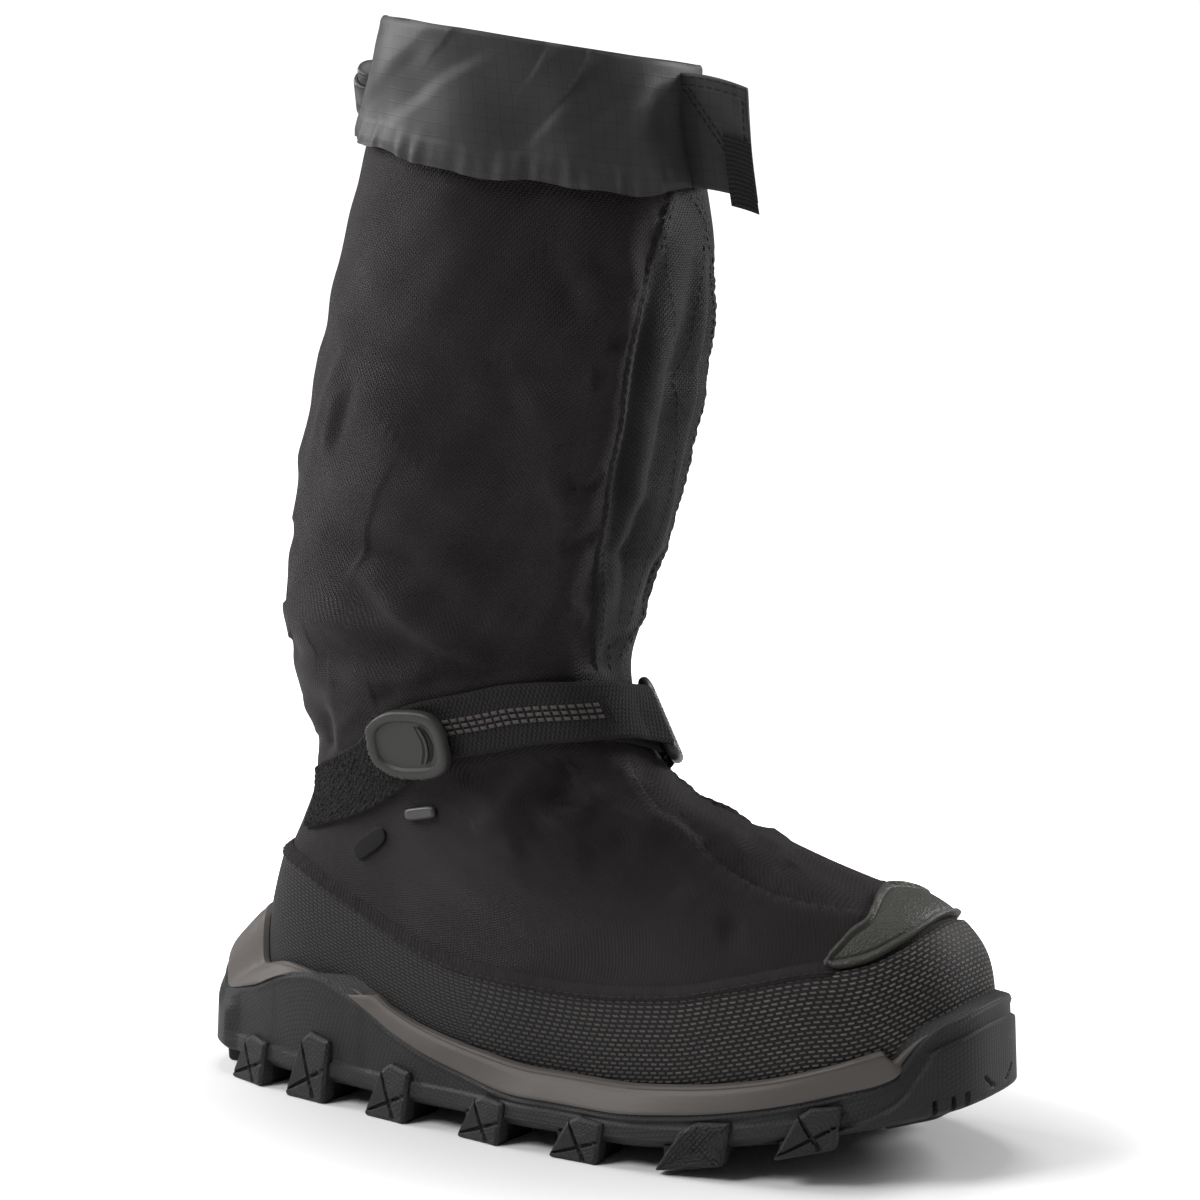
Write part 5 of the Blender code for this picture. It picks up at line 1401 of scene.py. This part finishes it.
def boxParts(middles, alongs, ups, outs, corner=0.3):
    # Small blocks with bevelled tops
    long, tall, high = blockLook["long"], blockLook["tall"], blockLook["rise"]
    rings = []
    for lift, inset in ((-0.2, 0.0), (high - corner, 0.0), (high, corner)):
        ring = []
        for x, y in ((-1, -1), (1, -1), (1, 1), (-1, 1)):
            flat = alongs * x * (long / 2 - inset)
            ring.append(middles + flat + ups * y * (tall / 2 - inset) + outs * lift)
        rings.append(np.stack(ring, 1))
    rings = np.stack(rings, 1)
    grid = np.arange(12).reshape(3, 4)
    shift = (np.arange(len(middles)) * 12)[:, None, None]
    sides = quadGrid(grid, True)
    caps = np.array([[8, 9, 10, 11], [3, 2, 1, 0]])
    return rings.reshape(-1, 3), [((part[None] + shift).reshape(-1, 4), None) for part in (sides, caps)]


def onStrap(walk, offset, rows):
    # Places and directions on the strap, by millimetres along and across its middle
    middle = rows[:, rows.shape[1] // 2]
    walked = walkAlong(middle)
    point = pointsAt(walk, walked, middle)
    along = unit(pointsAt(walk, walked, np.gradient(middle, axis=0)))
    upward = unit(pointsAt(walk, walked, (rows[:, -1] - rows[:, 0])))
    out = unit(np.cross(along, upward))
    return point + upward * offset, along, upward, out


middleRun = strapTop[:, strapTop.shape[1] // 2]
strapWalk = walkAlong(middleRun)
startWalk, endWalk = np.interp([blockLook["first"], blockLook["last"]], topShares, strapWalk)
blocks = []
step = blockLook["long"] + blockLook["gap"]
for offset in blockLook["rows"]:
    walk = np.arange(startWalk, endWalk, step)
    point, along, upward, out = onStrap(walk, offset, strapTop)
    blocks.append(boxParts(point + out * 0.85, along, upward, out))
makePiece("strap_blocks", blocks, finishes["block"])
tackWalk = np.interp(0.462, topShares, strapWalk) + np.array([-1.3, 0.0, 1.3])
tacks = []
for walk in tackWalk:
    offsets = np.arange(-10.0, 10.0, 1.05)
    point, along, upward, out = onStrap(np.full(len(offsets), walk), 0.0, strapTop)
    point = point + upward * offsets[:, None]
    starts = point - upward * 0.5 - along * 0.5 + out * 1.05
    tacks.append(stitchParts(starts, point + upward * 0.5 + along * 0.5 + out * 1.05, out, 0.3))
makePiece("strap_tack", tacks, finishes["thread"])


def tubeLoop(path, radius, sides=14):
    # Closed ring of round bar through a closed path
    ahead = unit(np.roll(path, -1, 0) - np.roll(path, 1, 0))
    away = unit(np.cross(ahead, np.broadcast_to(loopOut, ahead.shape)))
    a = np.arange(sides) * 2 * np.pi / sides
    ring = (path[:, None] + (away[:, None] * np.cos(a)[:, None] + loopOut * np.sin(a)[:, None]) * radius)
    count = len(path)
    grid = np.arange(count * sides).reshape(count, sides)
    closed = np.concatenate([grid, grid[:1]])
    return ring.reshape(-1, 3), [(quadGrid(closed, True, True), None)]


def loopPath():
    halfWide = (strapLook["loopWide"] - strapLook["loopBar"]) / 2
    halfHigh = (strapLook["loopHigh"] - strapLook["loopBar"]) / 2
    corner = strapLook["loopCorner"]
    made = []
    for sx, sy, start in ((1, 1, 0), (-1, 1, 90), (-1, -1, 180), (1, -1, 270)):
        for k in np.linspace(0, 90, 9):
            a = math.radians(start + k)
            made.append(loopMiddle + loopAlong * ((halfWide - corner) * sx + corner * math.cos(a))
                        + loopUp * ((halfHigh - corner) * sy + corner * math.sin(a)))
    return np.array(made)


loopTube = tubeLoop(loopPath() + loopOut * 1.6, strapLook["loopBar"] / 2 + 0.7)
makePiece("plastic_loop", [loopTube], finishes["plastic"], ("strap_loop",))
print("strap ready")


# Pull tab, bar and label at the heel, and the fuzzy patch
tabLook = {"long": 34.0, "tall": 26.0, "thick": 4.2, "rim": 4.0, "recess": 1.3, "power": 0.62}


def surfaceFrame(share, up, roll, out):
    share = np.array([share])
    v = vAtUp(share, np.array([up]))
    away = normalAt(share, v)[0]
    flat = unit(surface(share + 0.008, v) - surface(share - 0.008, v))[0]
    upward = np.cross(away, flat)
    upward = upward if upward[2] > 0 else -upward
    c, s = math.cos(math.radians(roll)), math.sin(math.radians(roll))
    return skin(share, v, np.array([out]))[0], flat * c + upward * s, upward * c - flat * s, away


def platePart(place, long, tall, layers, power, count, shape=None):
    # Rounded plate from (inset, height) layers; shape may push points out or in
    centre, along, upward, out = place
    a = np.arange(count) * 2 * np.pi / count
    x0 = np.sign(np.cos(a)) * np.abs(np.cos(a)) ** power
    y0 = np.sign(np.sin(a)) * np.abs(np.sin(a)) ** power
    rings = []
    for inset, height in layers:
        x, y = x0 * (long / 2 - inset), y0 * (tall / 2 - inset)
        h = np.full(count, float(height))
        if shape is not None:
            x, y, h = shape(x, y, h, a, inset)
        rings.append(centre + x[:, None] * along + y[:, None] * upward + h[:, None] * out)
    flip = np.cross(along, upward) @ out < 0
    rings = np.array(rings)
    return ringsPart(rings[:, ::-1] if flip else rings)


def tabShape(x, y, h, a, inset):
    # D outline: round to the heel and squarer to the strap, with a knurled lower edge at the round end
    squeeze = 1 - 0.16 * smooth((-x - 2) / 14)
    y = y * squeeze
    knurl = smooth((np.cos(a - math.radians(215)) - 0.25) / 0.25) * (1 if inset < 1.6 else 0)
    bump = 0.35 * knurl * (np.cos(a * 48) > 0)
    return x * (1 + bump / 16), y * (1 + bump / 13), h + bump * 0.5 * (h > 1.5)


tabPlace = surfaceFrame(0.242, 0.312, 12, 2.7)
t0 = tabLook["thick"]
tabLayers = (
    (1.3, 0.0), (0.5, 0.25), (0.1, 0.8), (0.0, 1.4), (0.0, t0 - 1.4), (0.25, t0 - 0.6), (0.8, t0 - 0.12),
    (1.6, t0), (2.8, t0 - 0.02), (3.5, t0 - 0.25), (3.9, t0 - 0.7), (4.1, t0 - 1.1),
    (4.4, t0 - tabLook["recess"]), (7.0, t0 - tabLook["recess"] + 0.05),
    (10.0, t0 - tabLook["recess"] + 0.08),
)
tabPlate = platePart(tabPlace, tabLook["long"], tabLook["tall"], tabLayers, tabLook["power"], 192, tabShape)


def curvedRib(centreX, bend, half, width, base, high):
    # Thin curved strip on the tab's face: the ridge beside the slots, or a slot drawn as a dark strip of
    # painted shade
    t = np.linspace(-1, 1, 24)
    x, y = centreX + bend * (1 - t * t), t * half
    centre, along, upward, out = tabPlace
    line = centre + x[:, None] * along + y[:, None] * upward
    run = unit(np.gradient(line, axis=0))
    side = np.cross(out, run)
    size = width / 2 * np.sqrt(np.clip(1 - t ** 8, 0.04, 1))[:, None]
    rings = [line + side * size * s + out * h for s, h in ((-1, base), (1, base), (0.8, high), (-0.8, high))]
    rings = np.stack(rings, 1)
    return ringsPart(rings[:, ::-1])


tabRib = curvedRib(6.6, 2.4, 7.0, 1.3, t0 - 2.0, t0 - 0.35)
# The slots are dark strips laid on the tab, not openings: painted shade inside the slots, over the dark
# webbing they show
slots = [curvedRib(middleX, 2.4, half, 1.5, t0 - 2.0, t0 - 1.12)
         for middleX, half in ((4.9, 7.2), (8.4, 6.4))]
makePiece("tab_slots", slots, finishes["recess"])
makePiece("pull_tab", [tabPlate, tabRib], finishes["tab"], ("strap_pull_tab",))

barLayers = ((0.5, 0.0), (0.0, 0.5), (0.0, 1.3), (0.35, 1.95), (0.9, 2.2), (1.5, 2.2))
makePiece("bar_tab", [platePart(surfaceFrame(0.188, 0.238, 16, 0.5), 15.0, 4.5, barLayers, 0.45, 64)],
          finishes["plastic"], ("strap_bar",))
labelLayers = ((0.3, 0.0), (0.0, 0.3), (0.0, 0.8), (0.35, 1.15), (0.8, 1.2))
makePiece("plain_label", [platePart(surfaceFrame(0.140, 0.198, 38, 0.5), 17.0, 7.0, labelLayers, 0.6, 64)],
          finishes["webbing"], ("strap_label",))


def patchPart():
    shares = np.linspace(0.06, 0.205, 120)
    rows = bandRun(shares, ((0.0, 0.0), (1.0, 0.0)), np.linspace(0, 1, 73))
    ahead = np.gradient(rows, axis=0)
    out = unit(np.cross(ahead, np.broadcast_to(unit(rows[:, -1:] - rows[:, :1]), ahead.shape)))
    i, j = np.meshgrid(np.arange(rows.shape[0]), np.arange(rows.shape[1]), indexing="ij")
    zig = np.abs(((j / 7.0 + 0.9 * np.abs((i / 5.0) % 2 - 1)) % 1.0) - 0.5) * 2
    random = np.random.default_rng(7).random(i.shape)
    edge = np.minimum(1, np.minimum(i, len(rows) - 1 - i) / 3.0)
    edge = edge * np.minimum(1, np.minimum(j, rows.shape[1] - 1 - j) / 2.0)
    fuzz = (0.45 * zig + 0.55 * random) * edge
    return shellPart(rows + out * (0.55 + fuzz)[..., None], rows - out * 0.7, False)


makePiece("heel_patch", [patchPart()], finishes["fuzz"], ("strap_patch",))
print("fittings ready")


# Cord lock behind the cuff
lockLook = {"radius": 6.5, "height": 15.0, "depth": 4.0, "tilt": 32, "share": 0.008,
            "up": 0.20}


def lockFrame():
    share = np.array([lockLook["share"]])
    foot, rim = cuffFoot(share), surface(share, shoe["rimV"])[..., 2]
    v = vAtHeight(share, foot + (rim - foot) * lockLook["up"])
    away = normalAt(share, v)[0]
    flat = unit(np.array([-away[1], away[0], 0.0]))
    upward = np.cross(away, flat)
    upward = upward if upward[2] > 0 else -upward
    tilt = math.radians(lockLook["tilt"])
    axis = upward * math.cos(tilt) + flat * math.sin(tilt)
    side = flat * math.cos(tilt) - upward * math.sin(tilt)
    return skin(share, v, np.array([cuffOut + lockLook["radius"]]))[0], axis, side, away


def turned(profile, count=64):
    # Turned body from (radius, height) pairs along the lock's axis
    centre, axis, side, away = lockFrame()
    a = np.arange(count) * 2 * np.pi / count
    rings = []
    for radius, height in profile:
        spoke = side * np.cos(a)[:, None] + away * np.sin(a)[:, None]
        rings.append(centre + axis * height + spoke * radius)
    rings = np.array(rings)
    return ringsPart(rings if np.cross(side, away) @ axis > 0 else rings[:, ::-1])


half, r = lockLook["height"] / 2, lockLook["radius"]
barrelProfile = (
    (r - 1.6, -half), (r - 0.6, -half + 0.25), (r, -half + 1.1), (r, -2.5), (r - 0.35, -2.1),
    (r - 0.35, -1.3), (r, -0.9), (r, half - 1.1), (r - 0.3, half - 0.3), (r - 0.9, half), (5.2, half),
    (5.0, half - 0.3), (5.0, half - 4.0))
makePiece("lock_barrel", [turned(barrelProfile)], finishes["plastic"], ("cord_lock_body",))
base = half - lockLook["depth"]
buttonProfile = (
    (4.7, base), (4.7, base + 5.4), (4.4, base + 5.7), (4.4, base + 6.4), (4.7, base + 6.7),
    (4.7, base + 8.1), (4.4, base + 8.7), (3.8, base + 9.0), (2.0, base + 8.8))
makePiece("lock_button", [turned(buttonProfile)], finishes["plastic"], ("cord_lock_button",))
print("cord lock ready")


# Toe guard
guardLook = {"first": 0.3864, "thick": 2.0, "rim": 2.4, "rimRise": 1.1, "gap": 0.6, "corner": 4.0,
             "columns": 220, "rows": 60}


def guardPart():
    share = np.linspace(guardLook["first"], 1 - guardLook["first"], guardLook["columns"])
    low, high = (vAtHeight(share, heightOf(line, share, False)) for line in (guardLow, guardHigh))
    t = np.linspace(0, 1, guardLook["rows"])[:, None]
    grid = np.broadcast_to(share, (guardLook["rows"], len(share)))
    v = low + (high - low) * t
    base = surface(grid, v)
    tall = np.linalg.norm(np.diff(base, axis=0), axis=2).sum(0)
    along = walkAlong(base[30])
    ends = np.minimum(along, along[-1] - along)
    up = t * tall
    distance = np.minimum(np.minimum(up, tall - up), ends[None] + 0 * up)
    corner = np.minimum(up, tall - up)
    bend = guardLook["corner"]
    inCorner = (ends[None] < bend) & (corner < bend)
    distance = np.where(inCorner, bend - np.hypot(bend - ends[None], bend - corner), distance)
    rim = smooth(distance / 0.5) * (1 - smooth((distance - guardLook["rim"] + 0.8) / 0.6))
    groove = np.exp(-((distance - guardLook["rim"] - 0.5) / 0.5) ** 2)
    out = guardLook["gap"] + 0.4 + (guardLook["thick"] - 0.4) * smooth(distance / 0.45)
    out = out + guardLook["rimRise"] * rim * 0.9 - 0.45 * groove
    outer = base + normalAt(grid, v) * out[..., None]
    inner = base + normalAt(grid, v) * guardLook["gap"]
    return shellPart(outer, inner, False), np.concatenate([rim.ravel() * 0.25, np.zeros(rim.size)])


guardMesh, guardRim = guardPart()
makePiece("toe_shield", [guardMesh], finishes["guard"], ("toe_guard",),
          marks={"edge": guardRim})
print("toe guard ready")


# Midsole: foam tray whose lip shows over the outsole, with a wedge at the heel
midsoleLook = {"columns": 520, "draft": 1.2, "wall": 2.8, "gap": 0.3, "proud": 1.0, "rim": 2.6}


def midsolePart():
    share = np.arange(midsoleLook["columns"]) / midsoleLook["columns"]
    inset = midsoleLook["draft"] + midsoleLook["wall"] + midsoleLook["gap"]
    socket = shoe["randOut"] + midsoleLook["gap"]
    topV = vAtHeight(share, midsoleTop(share))
    cover = coverShare(share)
    low = outsoleTop(share) + midsoleLook["gap"] - 5.0 * cover
    lower = solePlan(share, midsoleLook["draft"] - midsoleLook["proud"] + 4.0 * cover, low)
    base = surface(share, topV)
    outs = normalAt(share, topV)
    upper = base + outs * (socket + midsoleLook["rim"])
    lip = base + outs * socket
    rings = [lip, base + outs * (socket + 0.5) + np.array([0, 0, 0.15])]
    rings.append(upper - outs * 0.5 + np.array([0, 0, 0.1]))
    tall = np.linalg.norm(upper - lower, axis=1)
    sideways = unit(np.stack([outs[:, 0], outs[:, 1], 0 * outs[:, 0]], -1))
    side = sideShare(share)
    wedge = smooth((0.175 - side) / 0.012)
    for t in np.linspace(0, 1, 16):
        point = upper + (lower - upper) * t
        swell = 0.35 * wedge * smooth(t / 0.25) * smooth((1 - t) / 0.2)
        bulge = 0.25 * np.sin(math.pi * t) * np.minimum(1, tall / 6) + swell
        groove = -0.55 * np.exp(-((t - 0.16) / 0.05) ** 2) * smooth((tall - 5) / 4)
        soften = -0.5 * (1 - smooth(t / 0.06)) - 0.3 * (1 - smooth((1 - t) / 0.06))
        rings.append(point + sideways * (bulge + groove + soften)[:, None])
    rings.append(solePlan(share, inset, low))
    x = solePlan(share, inset, 0.0)[:, 0]
    bottom = solePlan(share, inset, 0.0)
    bottom[:, 2] = bottomAt(x) + shoe["floor"] + midsoleLook["gap"]
    rings.append(bottom)
    foot = surface(share, 0.0 * share) + normalAt(share, 0.0 * share) * socket
    foot[:, 2] = footbedAt(foot[:, 0]) - 0.3
    rings = [foot] + rings
    rings = np.array(rings)[::-1]
    return ringsPart(rings)


makePiece("midsole_wrap", [midsolePart()], finishes["foam"], ("midsole",), sharp=38)
print("midsole ready")


# Outsole: cup wall with kick plate and toe bumper, side lugs with crossed grooves, and the tread
outsoleLook = {"columns": 760, "rows": 46, "draft": 1.2, "wall": 2.8, "chamfer": 2.5, "kick": 3.8,
               "bumper": 1.6, "slits": (.444, .4585, .471, .529, .5415, .556), "slitWide": 2.0,
               "slitDeep": 2.2}
lugLook = {"wider": 1.08, "taller": 1.12, "raised": 3.2, "bevel": 1.1, "grooveHalf": 0.75, "grooveDeep": 1.3,
           "gridStep": 2.2, "gridDeep": 0.35}
sideLugRows = (
    (-.418, .062, .27, .18), (-.317, .064, .38, .30), (-.191, .064, .31, .26), (-.052, .064, .25, .20),
    (.080, .066, .24, .16), (.225, .082, .24, .10), (.351, .070, .24, .10),
)
centreLugRows = (
    (-.370, .13), (-.262, .15), (-.130, .13), (-.010, .14), (.100, .20), (.205, .24), (.300, .22),
)


def outsoleWall():
    share = np.arange(outsoleLook["columns"]) / outsoleLook["columns"]
    side = sideShare(share)
    foot = bottomAt(-np.cos(2 * np.pi * share) * shoe["length"] / 2)
    top = outsoleTop(share)
    kick = outsoleLook["kick"] * smooth((0.075 - side) / 0.012)
    bumper = outsoleLook["bumper"] * smooth((side - 0.405) / 0.006)
    walk = walkAlong(solePlan(share, 0.0, 0.0))
    rings = [solePlan(share, outsoleLook["chamfer"] + 1.0, foot)]
    edges = [0 * share]
    for t in np.linspace(0, 1, outsoleLook["rows"]):
        z = foot + (top - foot) * t
        climb = z - foot
        fade = 1 - 0.55 * smooth((t - 0.62) / 0.22) - 0.45 * smooth((t - 0.86) / 0.12)
        out = (kick + bumper) * smooth(t / 0.05) * fade
        begins = np.interp(t, (0.0, 0.22, 0.50, 0.74), (.348, .392, .424, .440))
        raised = outsoleLook["bumper"] * smooth((side - begins) / 0.005) * smooth(t / 0.05)
        out = np.where(side > 0.30, raised * (1 - smooth((t - 0.77) / 0.03)), out)
        inset = outsoleLook["chamfer"] * (1 - smooth(climb / 3.0)) + outsoleLook["draft"] * t
        # A shelf low on the wall and a bead under its top edge
        shelf = 0.9 * smooth((side - 0.06) / 0.02) * smooth((0.40 - side) / 0.02)
        shelf = shelf * (1 - smooth((climb - 7.0) / 1.2))
        bead = 0.55 * np.exp(-((top - z - 1.6) / 0.9) ** 2) * (side > 0.075)
        for place in outsoleLook["slits"]:
            off = np.abs((share - place) * walk[-1])
            cut = smooth((outsoleLook["slitWide"] / 2 + 0.35 - off) / 0.5)
            reach = smooth((7.2 - climb) / 0.6) * smooth((climb - 0.4) / 0.4)
            out = out - outsoleLook["slitDeep"] * cut * reach
        for place in (.492, .508):
            lean = (climb - 8.0) * -1.1
            off = np.abs((share - place) * walk[-1] * (1 if place < 0.5 else -1) - lean)
            cut = smooth((1.2 - off) / 0.5) * smooth((10.5 - climb) / 0.8) * smooth((climb - 4.5) / 0.8)
            out = out - 1.4 * cut
        ring = solePlan(share, inset - out - shelf - bead, z)
        rings.append(ring)
        edges.append(np.clip(shelf * 0.2 + 0.5 * (t > 0.97), 0, 0.4) + 0 * share)
    inner = outsoleLook["draft"] + outsoleLook["wall"]
    cover = coverShare(share, 0.012)[:, None]
    v = vAtHeight(share, top + 0.8)
    rings.append(solePlan(share, outsoleLook["draft"] + 0.8, top + 0.5))
    meeting = surface(share, v) + normalAt(share, v) * 1.9
    rings.append(solePlan(share, inner, top) * (1 - cover) + meeting * cover)
    cup = solePlan(share, inner, 0.0)
    cup[:, 2] = bottomAt(cup[:, 0]) + shoe["floor"]
    rings.append(cup)
    edges += [0 * share + 0.3, 0 * share, 0 * share]
    return np.array(rings), np.array(edges)


def crossStrips(ring, flip):
    # Flat strips across a ring that is the same on both sides of the middle
    count = len(ring)
    left = np.arange(1, count // 2)
    rightSide = count - left
    a, b = left[:-1], left[1:]
    c, d = rightSide[1:], rightSide[:-1]
    quads = np.stack([a, b, c, d], -1)
    tips = np.array([[0, 1, count - 1], [count // 2, count // 2 + 1, count // 2 - 1]])
    return (quads[:, ::-1], tips[:, ::-1]) if flip else (quads, tips)


def cupPart():
    rings, edges = outsoleWall()
    rows, columns = rings.shape[:2]
    grid = np.arange(rows * columns).reshape(rows, columns)
    faces = [(quadGrid(grid, True), gridUv(uvOf(rings, True)))]
    low = crossStrips(rings[0], True)
    high = crossStrips(rings[-1], False)
    faces += [(part, rings[0][:, :2][part].reshape(-1, part.shape[1], 2)) for part in low]
    faces += [(part + (rows - 1) * columns, None) for part in high]
    return (rings.reshape(-1, 3), faces), edges.ravel()


def outerY(x, side):
    angle = np.arccos(np.clip(-2 * x / shoe["length"], -1, 1)) / (2 * np.pi)
    return solePlan(angle if side > 0 else 1 - angle, 0.0, 0.0)[1]


def lugFrame(x, side):
    step = shoe["length"] / 200
    middle = np.array([x, outerY(x, side), 0.0])
    along = unit(np.array([2 * step, outerY(x + step, side) - outerY(x - step, side), 0.0]))
    return middle, along, np.array([along[1], -along[0], 0.0]) * side


def outlineOf(corners, count, rounding):
    # Closed outline through corners, with the corners rounded; count points in all
    corners = np.asarray(corners, float)
    per = count // len(corners)
    made = []
    for k in range(len(corners)):
        before, here, after = corners[k - 1], corners[k], corners[(k + 1) % len(corners)]
        arcCount = per // 2
        a, b = here + (before - here) * rounding, here + (after - here) * rounding
        t = np.linspace(0, 1, arcCount, endpoint=False)[:, None]
        made.append(a * (1 - t) ** 2 + here * 2 * t * (1 - t) + b * t * t)
        onward = after + (here - after) * rounding
        t = np.linspace(0, 1, per - arcCount, endpoint=False)[:, None]
        made.append(b + (onward - b) * t)
    return np.concatenate(made)


def sideLug(row, side, grooves=True):
    # Five-cornered plate on the wall, its face crossed by two grooves and its edges bevelled
    xShare, wideShare, highShare, slant = row
    middle, along, out = lugFrame(xShare * shoe["length"], side)
    width = wideShare * shoe["length"] * lugLook["wider"]
    height = highShare * shoe["sidewall"] * lugLook["taller"]
    corners = [(-0.50 * width, 0.0), (0.42 * width, 0.0), (0.50 * width, 0.92 * height),
               (0.05 * width, height), (-0.17 * width, 0.84 * height)]
    outline = outlineOf(corners, 110, 0.08)
    centre = np.array([0.06 * width, 0.46 * height])
    shares = np.concatenate([np.linspace(0.02, 0.90, 24), [.92, .94, .96, .98, .99, 1.0]])
    rings, marks = [], []
    for s in shares:
        flat = centre + (outline - centre) * s
        up = flat[:, 1] / height
        lift = lugLook["raised"] * (1.0 - 0.30 * flat[:, 1] / height) - 2.2 * slant * up ** 2
        size = np.linalg.norm(outline - centre, axis=1) * (1 - s)
        bevel = lugLook["bevel"] * (1 - np.clip(size / 1.3, 0, 1)) ** 1.5
        dip = np.zeros(len(flat))
        if grooves:
            for first, last in (((-0.14, 0.88), (0.20, 0.03)), ((-0.46, 0.08), (0.46, 0.52))):
                start, stop = (np.array([each[0] * width, each[1] * height]) for each in (first, last))
                arm = (stop - start) / np.linalg.norm(stop - start)
                local = flat - start
                ahead = local @ arm / np.linalg.norm(stop - start)
                off = np.abs(local @ np.array([-arm[1], arm[0]]))
                wide = lugLook["grooveHalf"] * np.sqrt(np.clip(4 * ahead * (1 - ahead), 0, 1))
                dip = np.maximum(dip, lugLook["grooveDeep"] * smooth((wide - off) / 0.35))
        else:
            for sign in (1, -1):
                cross = np.abs(((flat[:, 0] + sign * flat[:, 1]) / lugLook["gridStep"]) % 1.0 - 0.5)
                dip = np.maximum(dip, lugLook["gridDeep"] * smooth((0.14 - cross) / 0.08))
        rings.append((flat, lift - bevel - dip))
        marks.append(np.clip(0.9 - size, 0, 1) * 0.30 + 0 * lift)
    rings.append((outline, -2.6 + 0 * outline[:, 0]))
    marks.append(np.zeros(len(outline)))
    solid = []
    for flat, lift in rings[::-1]:
        point = middle + along * flat[:, :1] + out * lift[:, None]
        point[:, 2] = treadAt(point[:, 0]) + flat[:, 1]
        solid.append(point)
    solid = np.array(solid)
    if side < 0:
        solid = solid[:, ::-1]
    marks = np.array(marks)[::-1]
    return ringsPart(solid), np.concatenate([marks.ravel(), [0, 0]])


def blockPart(corners):
    # Tread block from plan corners: its foot follows the tread, with a bevelled edge
    outline = outlineOf(corners, 64, 0.14)
    area = np.sum(outline[:, 0] * np.roll(outline[:, 1], -1) - outline[:, 1] * np.roll(outline[:, 0], -1))
    outline = outline if area > 0 else outline[::-1]
    centre = outline.mean(0)
    rings = []
    for s, lift in ((0.02, 0.0), (0.5, 0.0), (0.80, 0.0), (0.93, 0.10), (0.985, 0.5), (1.0, 1.1)):
        flat = centre + (outline - centre) * s
        rings.append(np.stack([flat[:, 0], flat[:, 1], treadAt(flat[:, 0]) + lift], -1))
    wide = centre + (outline - centre) * 1.05
    rings.append(np.stack([wide[:, 0], wide[:, 1], bottomAt(wide[:, 0]) + 1.2], -1))
    return ringsPart(np.array(rings))


def treadBlocks():
    made = []
    for row in sideLugRows:
        for side in (1, -1):
            middle, along, out = lugFrame(row[0] * shoe["length"], side)
            width = row[1] * shoe["length"]
            corners = [(middle + along * a * width - out * inward * 20.0)[:2]
                       for a, inward in ((-0.45, 0.0), (0.43, 0.0), (0.30, 1.0), (-0.38, 1.0))]
            made.append(blockPart(corners))
    for xShare, halfShare in centreLugRows:
        x = xShare * shoe["length"]
        middleY = (outerY(x, 1) + outerY(x, -1)) / 2
        half, arrow = halfShare * shoe["ballWidth"], 17.0 * 0.35
        corners = [(x - 8.5, middleY - half), (x + 8.5, middleY - half), (x + 8.5 + arrow, middleY),
                   (x + 8.5, middleY + half), (x - 8.5, middleY + half), (x - 8.5 + arrow * 0.8, middleY)]
        made.append(blockPart(corners))
    backX, half = -shoe["length"] / 2, shoe["ballWidth"] * 0.11
    made.append(blockPart([(backX + 0.5, -half), (backX + 16, -half * 0.8), (backX + 16, half * 0.8),
                           (backX + 0.5, half)]))
    frontX, half = shoe["length"] * 0.455, shoe["ballWidth"] * 0.20
    made.append(blockPart([(frontX, -half * 0.7), (frontX - 18, -half), (frontX - 18, half),
                           (frontX, half * 0.7)]))
    return made


cup, cupEdges = cupPart()
# The sixth lug has a fine grid in place of grooves
gridLug = 5
lugs = [sideLug(row, side, k != gridLug) for k, row in enumerate(sideLugRows) for side in (1, -1)]
soleEdges = np.concatenate([cupEdges] + [marks for _, marks in lugs])
makePiece("cup_sole", [cup] + [part for part, _ in lugs], finishes["rubber"], ("outsole",),
          sharp=32, marks={"edge": soleEdges})
makePiece("tread_blocks", treadBlocks(), finishes["recess"], sharp=32)
print("outsole ready")

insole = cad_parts["insole"]
insole.data.materials.clear()
insole.data.materials.append(finishes["felt"])
